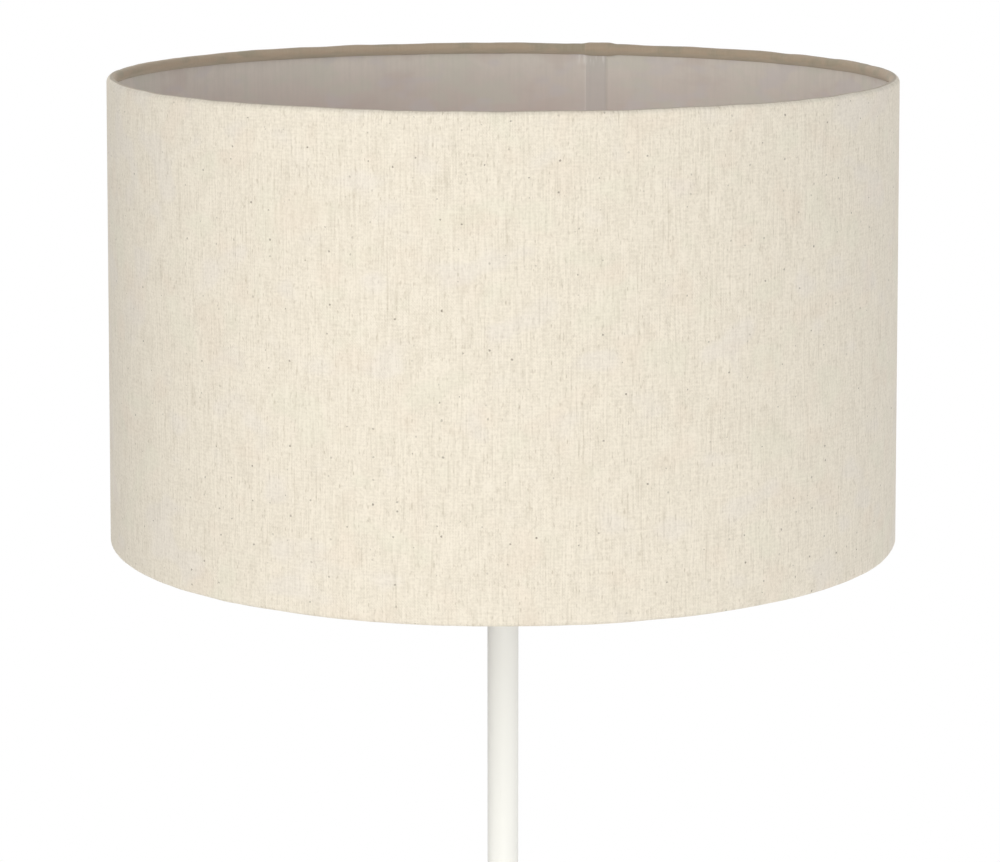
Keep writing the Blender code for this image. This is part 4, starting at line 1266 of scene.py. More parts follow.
# ---- Shade ----
@dataclass
class DrumShade:
    """The linen drum: cloth, liner, edge wires, and the spokes and ring that carry it."""

    shop: Workshop
    cloth: float = 0.7 * MM
    film: float = 0.5 * MM
    lap_angle: float = math.radians(76.35)
    lap_width: float = 13 * MM
    wire: float = 1.8 * MM
    spoke: float = 1.6 * MM
    body: str = "shade"
    fabric: Extent = field(default_factory=lambda: Extent.of("shade_fabric"))
    top_wire: Extent = field(default_factory=lambda: Extent.of("shade_top_wire"))
    bottom_wire: Extent = field(default_factory=lambda: Extent.of("shade_bottom_wire"))

    def centre(self, wire: Extent) -> Point:
        """(radius, height) of the middle of an edge wire."""
        return wire.radius - self.wire, (wire.bottom + wire.top) / 2

    def build(self) -> None:
        """Makes every piece of the shade."""
        self.make_liner()
        wires = [self.make_edge_wire("shade_top_wire", self.top_wire)]
        wires.append(self.make_edge_wire("shade_bottom_wire", self.bottom_wire))
        self.make_fabric()
        self.make_spokes()
        self.make_fitter_ring()

    def make_fabric(self) -> None:
        """The cloth, rolled over both wires, from the hem inside the top to the hem inside the foot.
        """
        roll = self.wire + GAP + self.cloth / 2
        top, bottom = self.centre(self.top_wire), self.centre(self.bottom_wire)
        upper, lower = arc(top, roll, 233, 0, 24), arc(bottom, roll, 0, -178, 18)
        liner = Extent.of("shade_liner")
        tuck = (liner.radius - (bottom[0] - top[0]) - self.film - self.cloth / 2, liner.top - 0.6 * MM)
        hang = spaced([tuck, upper[0]], MM, Rim.POLES)[:-1]
        line = [*hang, *upper, *spaced([upper[-1], lower[0]], 9 * MM, Rim.POLES)[1:-1], *lower]
        outs = []
        for before, after in zip([line[0], *line], [*line[1:], line[-1]]):
            outs.append(Vector((before[1] - after[1], after[0] - before[0])).normalized())
        if outs[len(outs) // 2].x < 0:
            outs = [-out for out in outs]
        marks = []
        for radius, height in line:
            inner = math.degrees(math.atan2(height - top[1], radius - top[0])) % 360
            low = math.degrees(math.atan2(height - bottom[1], bottom[0] - radius))
            # The hem mark passes 1.5 on the roll's underside and the flap to the liner, where the linen
            # paints shade; near 0.3 it is the crest, which also gets painted shade.
            if height > top[1] - roll - 2 * MM:
                hem = max(0.0, (inner - 55) / 90) if inner < 300 else 0.0
            else:
                hem = 1.0 if height < bottom[1] + roll and radius < bottom[0] and low < 60 else 0.0
            edge = max(0.0, 1 - (self.fabric.top - height) / (16 * MM)) ** 2
            edge = max(edge, 0.7 * max(0.0, 1 - (height - self.fabric.bottom) / (14 * MM)) ** 2)
            marks.append((hem, edge, 1.0 if height > top[1] - 0.1 else -1.0))
        half, order = self.cloth / 2, range(len(line))
        sides = [*((1, i) for i in order), *((-1, i) for i in reversed(order)), (1, 0)]
        points = [(line[i][0] + s * half * outs[i].x, line[i][1] + s * half * outs[i].y) for s, i in sides]
        kept = {"out_r": [outs[i].x for _, i in sides], "out_z": [outs[i].y for _, i in sides]}
        for place, name in enumerate(("hem", "edge", "side")):
            kept[name] = [marks[i][place] for _, i in sides]
        values = {
            "Around": 460, "Reach": self.fabric.radius, "Lap Angle": self.lap_angle, "Waver": 0.42 * MM,
            "Lap Width": self.lap_width + 5 * MM, "Lap Rise": 0.85 * MM, "Lap Ease": 3.2 * MM,
            "Waver Length": 26 * MM,
        }
        cloth = section_mesh("cloth", points, kept)
        piece = self.shop.drums.grow("shade_fabric_cloth", cloth, LINEN, values, WALL_ANGLE)
        hand_over(piece, LINEN, self.body, "shade_fabric")
        around = math.tau * self.fabric.radius + self.lap_width
        down = sum(math.dist(a, b) for a, b in zip(line, line[1:]))

    def make_liner(self) -> None:
        """The stiff film that stands just inside the cloth, with its own lap."""
        extent = Extent.of("shade_liner")
        (upper, high), (lower, low) = self.centre(self.top_wire), self.centre(self.bottom_wire)
        slope, edge = (upper - lower) / (high - low), 0.2
        top_radius = extent.radius + slope * (extent.top - extent.bottom)
        corners = [
            (top_radius, extent.top, edge), (extent.radius, extent.bottom, edge),
            (extent.radius - self.film, extent.bottom, edge), (top_radius - self.film, extent.top, edge),
        ]
        points = spaced(eased(corners, Rim.LOOP, 2), 12 * MM, Rim.LOOP)
        points.append(points[0])
        middle = top_radius - self.film / 2
        inner = [1.0 if radius < middle - (extent.top - z) * slope else 0.0 for radius, z in points]
        # near_top is 1 at the film's top and 0 from 60 mm down; the liner paints shade below it and glue
        # glints near it
        near_top = [max(0.0, 1 - (extent.top - z) / (60 * MM)) for _, z in points]
        kept = {"out_r": [-0.8 * share for share in inner], "hem": near_top, "side": [0.0] * len(points)}
        values = {
            "Around": 420, "Reach": extent.radius, "Lap Angle": self.lap_angle, "Lap Width": self.lap_width,
            "Lap Rise": 0.5 * MM,
        }
        film = section_mesh("film", points, kept)
        piece = self.shop.drums.grow("shade_liner_film", film, LINER, values, WALL_ANGLE)
        hand_over(piece, LINER, self.body, "shade_liner")

    def make_edge_wire(self, node: str, extent: Extent) -> Solid:
        """One edge wire inside its roll of cloth.

        Args:
            node: The frame's wire.
            extent: How far it reaches.

        Returns:
            The wire.
        """
        radius, height = self.centre(extent)
        turns = [math.tau * i / 240 for i in range(240)]
        route = [(radius * math.cos(a), radius * math.sin(a), height) for a in turns]
        piece = self.shop.wires.along(f"{node}_hoop", route, self.wire, STEEL, ring=True)
        return hand_over(piece, STEEL, self.body, node)

    def make_spokes(self) -> None:
        """Three bent spokes from the fitter ring out to the bottom wire, with a weld bead at each end."""
        nodes = [f"fitter_spoke_{number}" for number in (1, 2, 3)]
        low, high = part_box(nodes[0])
        near, far = low.y, high.y
        down, up = low.z + self.spoke, high.z - self.spoke
        bend = 12 * MM
        knots = [
            (far, down), (far - bend, down), (far - 2 * bend, down + (up - down) * 0.05),
            (near + 3 * bend, up - (up - down) * 0.10), (near + 1.5 * bend, up), (near, up),
        ]
        route = smooth_route([(0, r, z) for r, z in knots], 7 * MM)
        spoke = self.shop.wires.along("spoke", route, self.spoke, STEEL)
        beads = [bead((0, r, z), self.spoke * 1.35) for r, z in ((near + 2 * MM, up), (far - 2 * MM, down))]
        spoke = join_and_cut(spoke, beads, [])
        piece = self.shop.rounds.repeat("fitter_spokes", spoke, STEEL, 3)
        hand_over(piece, STEEL, self.body, *nodes)

    def make_fitter_ring(self) -> None:
        """The stamped flat ring that sits on the lampholder's shoulder."""
        extent = Extent.of("fitter_ring")
        inner, edge = extent.radius - 7 * MM, 0.45
        corners = [
            (extent.radius, extent.top, edge), (extent.radius, extent.bottom, 0.2),
            (inner, extent.bottom, 0.2), (inner, extent.top, edge),
        ]
        self.shop.fit("fitter_ring", "stamping", corners, STEEL, self.body, around=96, step=1.5 * MM)


def smooth_route(knots: Sequence[Sequence[float]], reach: float, steps: int = 8) -> list[Vector]:
    """Straight runs between knots, with each corner bent over a reach to both sides.

    Args:
        knots: The corners and the two ends.
        reach: How far from a corner its bend starts.
        steps: The chords in each bend.

    Returns:
        The route's points.
    """
    points = [Vector(knot) for knot in knots]
    route = [points[0]]
    for before, corner, after in zip(points, points[1:], points[2:]):
        back, on = before - corner, after - corner
        start = corner + back.normalized() * min(reach, 0.48 * back.length)
        end = corner + on.normalized() * min(reach, 0.48 * on.length)
        for step in range(steps + 1):
            t = step / steps
            route.append(start * (1 - t) ** 2 + corner * (2 * t * (1 - t)) + end * t**2)
    return [*route, points[-1]]


def bead(place: Sequence[float], radius: float) -> Solid:
    """A small flattened bead of weld.

    Args:
        place: Its middle.
        radius: Its radius.

    Returns:
        The bead.
    """

    def build(shape: bmesh.types.BMesh) -> None:
        """One low ball."""
        matrix = Matrix.Translation(place) @ Matrix.Diagonal((1.2, 1.5, 0.9, 1))
        bmesh.ops.create_uvsphere(shape, u_segments=16, v_segments=10, radius=radius, matrix=matrix)

    return shape_object("bead", build)


# ---- Lampholder and bulb ----
@dataclass
class Lampholder:
    """The moulded holder: cap, threaded skirt, insert, screw shell, contact, switch bar and clamp ring."""

    shop: Workshop
    thread_pitch: float = 3.2 * MM
    shell_pitch: float = 3.62 * MM
    shell_wall: float = 0.6 * MM
    wall: float = 2.2 * MM
    skirt_wall: float = 3.9 * MM

    def build(self) -> None:
        """Makes every piece of the lampholder."""
        self.make_cap()
        self.make_skirt()
        self.make_inside()
        self.make_switch_bar()
        self.make_clamp_ring()

    def make_cap(self) -> None:
        """The bell-shaped cap, with the holes for the switch bar."""
        low, high, wide = Extent.of("holder_cap").turned
        tall, bore, foot = high - low, 5.35 * MM, 11 * MM
        corners = [
            (wide, high, 0.5), (wide, high - 1.6 * MM, 0.2),
            (wide - 0.5 * MM, high - 1.9 * MM, 0.2), (wide - 0.5 * MM, high - 0.42 * tall, 6),
            (wide - 0.3 * (wide - foot), low + 0.28 * tall, 5), (foot, low + 1.2 * MM, 1.5),
            (foot - 0.6 * MM, low, 0.5), (bore, low, 0.3),
            (bore, low + 8 * MM, 0.3), (bore + 2 * MM, low + 8 * MM, 0.5),
            (wide - self.wall, high - 0.5 * tall, 3), (wide - self.wall, high, 0.4),
        ]
        cap = self.shop.turn("holder_cap_bell", corners, WHITE_PLASTIC, around=96, step=1.6 * MM)
        bar = Extent.of("switch_bar")
        level, half = (bar.bottom + bar.top) / 2, bar.radius + 0.35 * MM
        cutter = drill("bar_hole", half, (0, -1.5 * wide, level), (0, 1.5 * wide, level))
        hand_over(join_and_cut(cap, [], [cutter]), WHITE_PLASTIC, "stand", "holder_cap")

    def make_skirt(self) -> None:
        """The threaded skirt, with the shoulder that the shade's ring sits on."""
        (low, high, wide), ring = Extent.of("holder_skirt").turned, Extent.of("fitter_ring")
        shoulder, outer = ring.bottom - GAP, wide - 2.5 * MM
        bore, lip = outer - self.skirt_wall, outer - 5.4 * MM
        corners = [
            (outer - 0.8 * MM, high, 0.5), (outer, high - 1.2 * MM, 0.6),
            (outer, shoulder, 0.3), (wide, shoulder, 0.5), (wide, low, 0.5),
            (bore, low, 0.4), (bore, high - 2 * MM, 0.3), (lip, high - 2 * MM, 0.3),
            (lip, high, 0.5),
        ]
        thread = Relief(
            shoulder + 1.2 * MM, high - 1 * MM, outer - 0.5 * MM, pitch=self.thread_pitch,
            thread_depth=0.9 * MM,
        )
        self.shop.fit(
            "holder_skirt", "sleeve", corners, WHITE_PLASTIC, around=96, relief=thread, step=0.42 * MM
        )

    def make_inside(self) -> None:
        """The insert, the rolled screw shell and the sprung contact in the middle."""
        extent = Extent.of("holder_insert")
        corners = [
            (0, extent.top), (5 * MM, extent.top, 0.4), (5.6 * MM, extent.top - 0.8 * MM, 0.4),
            (12 * MM, extent.top - 0.8 * MM, 0.4), (12.6 * MM, extent.top, 0.4),
            (extent.radius, extent.top, 0.6), (extent.radius, extent.bottom, 0.6),
            (0, extent.bottom),
        ]
        insert = self.shop.turn("holder_insert_block", corners, WHITE_PLASTIC, step=1.5 * MM)
        holes = []
        for side in (-1, 1):
            lead = Extent.of("live_lead" if side > 0 else "neutral_lead")
            out = side * (max(abs(lead.low.x), abs(lead.high.x)) - 1.2 * MM)
            ends = [(out, 0, extent.bottom - MM), (out, 0, extent.bottom + 5 * MM)]
            holes.append(drill("hole", LEAD_HOLE, *ends))
        hand_over(join_and_cut(insert, [], holes), WHITE_PLASTIC, "stand", "holder_insert")

        low, high, wide = Extent.of("screw_shell").turned
        corners = sleeve(wide, wide - self.shell_wall, low, high, 0.2)
        thread = Relief(low + MM, high - MM, pitch=self.shell_pitch, thread_depth=0.4 * MM, fade=MM)
        self.shop.fit("screw_shell", "rolled", corners, BRASS, around=84, relief=thread, step=0.45 * MM)

        tongue = Extent.of("centre_contact")
        corners = [
            (0, tongue.top), (1.6 * MM, tongue.top, 0.8), (2.4 * MM, tongue.top - 1.2 * MM, 0.8),
            (tongue.radius, tongue.bottom + 0.4 * MM, 0.3), (tongue.radius, tongue.bottom, 0.1),
            (0, tongue.bottom),
        ]
        self.shop.fit("centre_contact", "button", corners, BRASS, around=40, step=0.5 * MM)

    def make_switch_bar(self) -> None:
        """The push-through bar, with grip rings near its two ends."""
        low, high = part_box("switch_bar")
        radius, level = (high.z - low.z) / 2, (high.z + low.z) / 2
        half, middle = (high.y - low.y) / 2, (high.y + low.y) / 2
        corners = [(0, half), (radius, half, 1), (radius, half - 1.4 * MM, 0.2)]
        for ring in range(3):
            start = half - (1.8 + 1.1 * ring) * MM
            corners += [
                (radius, start, 0.1), (radius - 0.35 * MM, start - 0.2 * MM, 0.1),
                (radius - 0.35 * MM, start - 0.5 * MM, 0.1), (radius, start - 0.7 * MM, 0.1),
            ]
        corners += [(r, -z, *fillet) for r, z, *fillet in reversed(corners)]
        matrix = Matrix.Translation((0, middle, level)) @ Matrix.Rotation(math.pi / 2, 4, "X")
        self.shop.fit(
            "switch_bar", "grip", corners, WHITE_PLASTIC, "switch", around=40,
            step=1.5 * MM, matrix=matrix,
        )

    def make_clamp_ring(self) -> None:
        """The ring that screws down on the shade's ring, fluted for the fingers."""
        low, high, wide = Extent.of("shade_clamp_ring").turned
        bore = wide - 5.5 * MM
        corners = [
            (wide - 1.4 * MM, high, 0.5), (wide - 0.8 * MM, high - 0.8 * MM, 0.4),
            (wide, high - 1.4 * MM, 0.4), (wide, low + 0.9 * MM, 0.4),
            (wide - 0.8 * MM, low, 0.4), (bore, low, 0.3), (bore, high, 0.4),
        ]
        grip = Relief(low + 0.9 * MM, high - 1.2 * MM, wide - 0.6 * MM, flutes=32, flute_depth=0.7 * MM)
        self.shop.fit(
            "shade_clamp_ring", "fluted", corners, WHITE_PLASTIC, "shade_clamp", around=256, relief=grip,
            step=0.8 * MM,
        )


@dataclass
class Bulb:
    """The opal bulb on its brass screw cap."""

    shop: Workshop
    cap_wall: float = 0.6 * MM
    glass: float = 0.8 * MM
    pitch: float = 3.62 * MM

    def build(self) -> None:
        """Makes the cap, the insulator, the contact and the globe."""
        low, high, wide = Extent.of("bulb_cap").turned
        globe, wall = Extent.of("bulb_globe"), self.cap_wall
        corners = [
            (0, low), (wide - 2.4 * MM, low, 1), (wide, low + 2 * MM, 0.8),
            (wide, high - 3.2 * MM, 0.4),
            (wide - 0.3 * MM, high - 2.8 * MM, 0.3), (wide - 0.3 * MM, high - 0.6 * MM, 0.2),
            (wide, high, 0.1), (wide - wall, high, 0.1), (wide - wall, low + 2.4 * MM, 0.8),
            (wide - 2.6 * MM, low + wall, 1), (0, low + wall),
        ]
        thread = Relief(
            low + 2.6 * MM, high - 3.6 * MM, wide - 2 * wall, pitch=self.pitch, thread_depth=0.75 * MM,
            fade=MM,
        )
        self.shop.fit(
            "bulb_cap", "screw", corners, BRASS, "bulb", around=84, relief=thread,
            step=0.45 * MM,
        )

        neck, centre = wide - wall - GAP, globe.top - globe.radius
        ball = arc((0, centre), globe.radius, 90, -38, 30)
        outside = [
            *ball, (neck + 4.6 * MM, high + 12 * MM, 8), (neck, high + 3 * MM, 6),
            (neck, globe.bottom),
        ]
        inside = [(max(0.0, r - self.glass * 0.9), z, *more) for r, z, *more in reversed(outside[1:])]
        corners = [*outside, *inside, (0, globe.top - self.glass)]
        self.shop.fit(
            "bulb_globe", "opal", corners, OPAL, "bulb", around=96, step=2.5 * MM
        )

        for node, ending, finish, taper in (
            ("bulb_insulator", "bead", BLACK_GLASS, 0.55), ("bulb_contact", "tip", STEEL, 0.85)
        ):
            extent = Extent.of(node)
            corners = [
                (0, extent.top), (extent.radius, extent.top, 0.3),
                (extent.radius * (0.5 + taper / 2), (extent.top + extent.bottom) / 2, 1),
                (extent.radius * taper, extent.bottom, 0.5), (0, extent.bottom),
            ]
            self.shop.fit(node, ending, corners, finish, "bulb", around=48, step=MM)


# ---- Stem ----
@dataclass
class Stem:
    """The painted tube with its plugs, nipples, lock nut, collar and leads."""

    shop: Workshop
    wall: float = 1.2 * MM
    bore: float = 5.35 * MM
    nipple_bore: float = 3.7 * MM

    def build(self) -> None:
        """Makes every piece of the stem."""
        bore = Extent.of("stem_tube").radius - self.wall
        self.make_sleeve("stem_tube", "painted", bore, WHITE_PAINT, 0.35)
        for node in ("stem_lower_plug", "stem_upper_plug"):
            self.make_sleeve(node, "turned", self.bore, STEEL, 0.5)
        for node in ("hub_nipple", "holder_nipple"):
            self.make_nipple(node)
        self.make_collar()
        self.make_locknut()
        for node, finish in (("live_lead", BROWN_LEAD), ("neutral_lead", BLUE_LEAD)):
            lead = frame["nodes"][node]
            lead.data.materials.clear()
            lead.data.materials.append(finish.material())

    def make_sleeve(self, node: str, ending: str, bore: float, finish: Finish, edge: float) -> None:
        """A plain tube in place of a frame node.

        Args:
            node: The frame node.
            ending: What the piece's name adds to the node's.
            bore: The radius of its bore.
            finish: What it is dressed in.
            edge: The radius of its edges, in mm.
        """
        low, high, wide = Extent.of(node).turned
        corners = sleeve(wide, bore, low, high, edge)
        self.shop.fit(node, ending, corners, finish, around=96, step=15 * MM)

    def make_nipple(self, node: str) -> None:
        """One hollow threaded nipple.

        Args:
            node: The frame node.
        """
        (low, high, wide), bore = Extent.of(node).turned, self.nipple_bore
        corners = sleeve(wide, bore, low, high, 0.4)
        thread = Relief(low, high, bore + 0.6 * MM, pitch=MM, thread_depth=0.45 * MM)
        self.shop.fit(node, "threaded", corners, STEEL, around=48, relief=thread, step=0.16 * MM)

    def make_collar(self) -> None:
        """The collar that covers the joint between stem and hub."""
        low, high, wide = Extent.of("stem_collar").turned
        bore = Extent.of("stem_tube").radius + 0.35 * MM
        corners = [
            (bore + 1.3 * MM, high, 0.6), (wide - 0.6 * MM, high - 2.6 * MM, 2.2),
            (wide, low + 1.6 * MM, 1), (wide, low, 0.4), (bore, low, 0.3),
            (bore, high - 0.4 * MM, 0.3),
        ]
        self.shop.fit("stem_collar", "spun", corners, WHITE_PAINT, around=96, step=MM)

    def make_locknut(self) -> None:
        """The hexagonal nut inside the hub, chamfered where its corners meet its faces."""
        low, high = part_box("hub_locknut")
        size, middle = (high - low) / 2, (low + high) / 2
        wide, tall = max(size.x, size.y), high.z - low.z
        turn = 30 if size.y > size.x else 0
        outline = arc((0, 0), wide, turn, turn + 300, 5)
        nut = plate("nut", outline, -tall / 2, tall / 2)
        nut.data.transform(Matrix.Translation(middle) @ Matrix.Rotation(math.pi / 2, 4, "X"))
        cone = [
            (0, high.z), (0.86 * wide, high.z), (1.02 * wide, high.z - 0.13 * wide),
            (1.02 * wide, low.z + 0.13 * wide), (0.86 * wide, low.z), (0, low.z),
        ]
        rounding = self.shop.turn("rounding", cone, STEEL, 48)
        trim = nut.modifiers.new("trim", "BOOLEAN")
        trim.operation, trim.solver, trim.object = "INTERSECT", "EXACT", rounding
        settle(nut)
        bpy.data.objects.remove(rounding)
        hole = drill("hole", self.bore, (0, 0, low.z - MM), (0, 0, high.z + MM))
        nut = link("hub_locknut_hex", join_and_cut(nut, [], [hole]).data, STEEL)
        bpy.data.objects.remove(bpy.data.objects["nut"])
        hand_over(nut, STEEL, "stand", "hub_locknut")


# ---- Hub and leg hinges ----
@dataclass(frozen=True)
class HingeSeat:
    """One leg hinge: where its pin is and where the leg's sole stands."""

    number: int
    anchor: Vector
    sole: Vector

    @classmethod
    def every(cls) -> "list[HingeSeat]":
        """The three hinges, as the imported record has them.

        Returns:
            The hinges in the record's order.
        """
        soles = {mount["name"]: mount["pos_m"] for mount in frame["record"]["mounts"]}
        joints = {joint["name"]: joint for joint in frame["record"]["behaviour"]["joints"]}
        seats = []
        for number in (1, 2, 3):
            anchor = joints[f"leg_{number}_fold"]["pos_m"]
            seats.append(cls(number, Vector(anchor), Vector(soles[f"sole_{number}"])))
        return seats

    @property
    def radius(self) -> float:
        """How far the pin is from the stem's axis."""
        return self.anchor.xy.length

    @property
    def azimuth(self) -> float:
        """Which way the leg points."""
        return math.atan2(self.anchor.y, self.anchor.x)

    @property
    def splay(self) -> float:
        """The open leg's angle from upright."""
        return math.atan2(self.sole.xy.length - self.radius, self.anchor.z)

    @property
    def reach(self) -> float:
        """The pin's distance from the floor, down the leg."""
        return self.anchor.z / math.cos(self.splay)

    @property
    def lug_matrix(self) -> Matrix:
        """Puts X outwards, Y along the pin and Z up, at the pin."""
        return Matrix.Translation(self.anchor) @ Matrix.Rotation(self.azimuth, 4, "Z")

    @property
    def leg_matrix(self) -> Matrix:
        """The same, turned so that -Z runs down the open leg."""
        return self.lug_matrix @ Matrix.Rotation(-self.splay, 4, "Y")


@dataclass
class Hub:
    """The cast hub with its slotted lugs, and the cover, gland and terminals under it."""

    shop: Workshop
    seats: Sequence[HingeSeat]
    wall: float = 5 * MM
    knuckle: float = 10 * MM
    slot: float = 5.6 * MM
    cheek: float = 5 * MM
    bolt_hole: float = 3.35 * MM
    ferrule_start: float = 14 * MM
    nipple_hole: float = 5.35 * MM
    screw_hole: float = 1.85 * MM
    gland_hole: float = 6.35 * MM

    def __post_init__(self) -> None:
        """Reads the barrel's size off the cover and the collar that close it."""
        self.radius = Extent.of("hub_base_cover").radius + 0.5 * MM
        self.top = Extent.of("stem_collar").bottom - GAP
        self.bottom = Extent.of("hub_base_cover").top + GAP

    def build(self) -> None:
        """Makes every piece of the hub."""
        self.make_casting()
        self.make_cover()
        self.make_gland()
        self.make_terminals()

    def lug_outline(self) -> list[Point]:
        """A lug from the side, in its seat's XZ plane: its lower outer corner stops the open leg.

        Returns:
            The outline's (x, z) points.
        """
        seat = self.seats[0]
        along = Vector((math.sin(seat.splay), -math.cos(seat.splay)))
        across = Vector((math.cos(seat.splay), math.sin(seat.splay)))
        stop, root = self.ferrule_start - GAP, self.radius - 0.7 * self.wall - seat.radius
        corner = stop * along + 0.9 * self.knuckle * across
        under = 0.7 * MM - stop
        return [
            (root, self.knuckle - MM), *arc((0, 0), self.knuckle, 96, 2, 22),
            tuple(corner - along * 1.2 * MM), tuple(corner - across * 1.2 * MM), tuple(stop * along),
            (-self.knuckle, under), (root, under),
        ]

    def make_casting(self) -> None:
        """The hollow barrel, three pairs of cheeks and the bolt and screw holes."""
        cavity, roof = self.radius - self.wall, self.top - 6 * MM
        barrel = [
            (self.radius, self.top, 3), (self.radius, self.bottom, 0.7),
            (cavity, self.bottom, 0.5), (cavity, roof, 1), (self.nipple_hole, roof, 0.3),
            (self.nipple_hole, self.top, 0.5),
        ]
        casting = self.shop.turn("hub_casting_body", barrel, WHITE_PAINT, around=120, step=6 * MM)
        inner = self.radius + MM - self.seats[0].radius
        outline, lugs, cutters = self.lug_outline(), [], []
        (root, above), under = outline[0], outline[-1][1]
        for seat in self.seats:
            for side in (-1, 1):
                low, high = sorted((side * self.slot, side * (self.slot + self.cheek)))
                cheek = plate(f"cheek_{seat.number}_{side}", outline, low, high, 0.9 * MM)
                cheek.data.transform(seat.lug_matrix)
                lugs.append(cheek)
                reach = (self.slot - MM, self.slot + 2 * self.cheek)
                ends = [seat.lug_matrix @ Vector((0, side * end, 0)) for end in reach]
                cutters.append(drill(f"bolt_{seat.number}_{side}", self.bolt_hole, *ends))
            web = [(root, above), (inner, above), (inner, under), (root, under)]
            block = plate(f"web_{seat.number}", web, -self.slot - MM, self.slot + MM)
            block.data.transform(seat.lug_matrix)
            lugs.append(block)
        for number in (1, 2):
            screw = Extent.of(f"cover_screw_{number}")
            ends = [(screw.middle, 0, self.bottom - 5 * MM), (screw.middle, 0, screw.top)]
            cutters.append(drill(f"screw_{number}", self.screw_hole, *ends))
        hand_over(join_and_cut(casting, lugs, cutters), WHITE_PAINT, "stand", "hub_casting")

    def make_cover(self) -> None:
        """The dished cover with its two screws."""
        low, high, wide = Extent.of("hub_base_cover").turned
        screws, hole = [Extent.of(f"cover_screw_{n}") for n in (1, 2)], self.gland_hole
        corners = [
            (wide, high, 0.2), (wide, low + 0.6 * MM, 0.8), (wide - 1.2 * MM, low, 0.8),
            (hole + 6.4 * MM, low, 0.4), (hole + 5.8 * MM, low + 0.5 * MM, 0.4),
            (hole, low + 0.5 * MM, 0.2), (hole, high, 0.2),
        ]
        cover = self.shop.turn("hub_base_cover_dished", corners, WHITE_PAINT, around=96, step=1.5 * MM)
        cutters = []
        for one in screws:
            ends = [(one.middle, 0, low - MM), (one.middle, 0, high + MM)]
            cutters.append(drill(f"hole_{one.middle}", self.screw_hole, *ends))
        hand_over(join_and_cut(cover, [], cutters), WHITE_PAINT, "stand", "hub_base_cover")

        one = screws[0]
        head = 1.8 * MM
        corners = [
            (0, one.top), (1.5 * MM, one.top, 0.5), (1.5 * MM, one.bottom + head, 0.2),
            (one.radius, one.bottom + head, 0.2), (one.radius * 0.94, one.bottom + 0.6 * MM, 0.8),
            (one.radius * 0.5, one.bottom, 0.6), (0, one.bottom),
        ]
        thread = Relief(one.bottom + 3 * MM, one.top - MM, MM, pitch=0.6 * MM, thread_depth=0.3 * MM)
        screw = self.shop.turn("screw", corners, STEEL, 32, thread, 0.2 * MM)
        screw = cross_recess(screw, (0, 0, one.bottom), (0, 0, 1), 1.7 * MM)
        screw.data.transform(Matrix.Translation((one.middle, 0, 0)))
        piece = self.shop.rounds.repeat("cover_screws", screw, STEEL, 2)
        hand_over(piece, STEEL, "stand", "cover_screw_1", "cover_screw_2")

    def make_gland(self) -> None:
        """The cord gland, with a ribbed nut below the cover."""
        extent, cover = Extent.of("cord_gland"), Extent.of("hub_base_cover")
        flange, neck, bore, low = cover.bottom - GAP, 6 * MM, 4 * MM, extent.bottom
        corners = [
            (neck, extent.top, 0.4), (neck, flange, 0.3), (extent.radius, flange, 0.4),
            (extent.radius, flange - 3 * MM, 0.6), (bore + 1.5 * MM, low, 0.6),
            (bore, low, 0.5), (bore, extent.top, 0.4),
        ]
        ribs = Relief(
            flange - 3.2 * MM, flange, neck + MM, flutes=18, flute_depth=0.6 * MM, fade=0.4 * MM
        )
        self.shop.fit(
            "cord_gland", "ribbed", corners, WHITE_PLASTIC, around=144, relief=ribs, step=0.7 * MM
        )

    def make_terminals(self) -> None:
        """The terminal block, with its two ways and a brass screw over each."""
        low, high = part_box("terminal_block")
        edge, pitch = 1.2 * MM, (high.x - low.x) / 4
        outline = [
            (low.x, low.z), (high.x, low.z), (high.x, high.z), (edge, high.z), (edge, high.z - 2 * edge),
            (-edge, high.z - 2 * edge), (-edge, high.z), (low.x, high.z),
        ]
        block = plate("terminal_block_moulded", outline, low.y, high.y, 0.5 * MM, WHITE_PLASTIC)
        cutters, level = [], (low.z + high.z) / 2
        for side in (-1, 1):
            x = side * pitch
            way, well = [(x, 0, low.z - MM), (x, 0, high.z + MM)], low.y + 1.6 * MM
            cutters.append(drill(f"way_{side}", LEAD_HOLE, *way))
            cutters.append(drill(f"well_{side}", 2.2 * MM, (x, low.y - MM, level), (x, well, level)))
        hand_over(join_and_cut(block, [], cutters), WHITE_PLASTIC, "stand", "terminal_block")
        corners = [(0, 1.2 * MM), (1.9 * MM, 1.2 * MM, 0.3), (1.9 * MM, 0, 0.2), (0, 0)]
        matrix = Matrix.Translation((pitch, low.y + 1.5 * MM, level)) @ Matrix.Rotation(math.pi / 2, 4, "X")
        screw = self.shop.turn("terminal_screw", corners, BRASS, 32, matrix=matrix)
        twin = link("terminal_screw_b", screw.data.copy(), BRASS)
        twin.data.transform(Matrix.Translation((-2 * pitch, 0, 0)))
        for name, one in (("terminal_screw_live", screw), ("terminal_screw_neutral", twin)):
            one.name = name
            hand_over(one, BRASS, "stand")


def cross_recess(
    screw: Solid, face: Sequence[float], inward: Sequence[float], reach: float
) -> Solid:
    """Cuts a cross for the driver into a screw's head.

    Args:
        screw: The screw.
        face: The middle of its head.
        inward: The way into the head.
        reach: How far each arm goes.

    Returns:
        The screw.
    """
    turn = Vector(inward).to_track_quat("Z", "Y").to_matrix().to_4x4()
    thin, deep, cutters = 0.22 * reach, 0.75 * reach, []
    for number in (0, 1):
        outline = [(-reach, -deep), (reach, -deep), (thin, deep), (-thin, deep)]
        arm = plate(f"arm_{number}", outline, -thin, thin)
        arm.data.transform(Matrix.Translation(face) @ turn @ Matrix.Rotation(number * math.pi / 2, 4, "Z"))
        cutters.append(arm)
    return join_and_cut(screw, [], cutters)


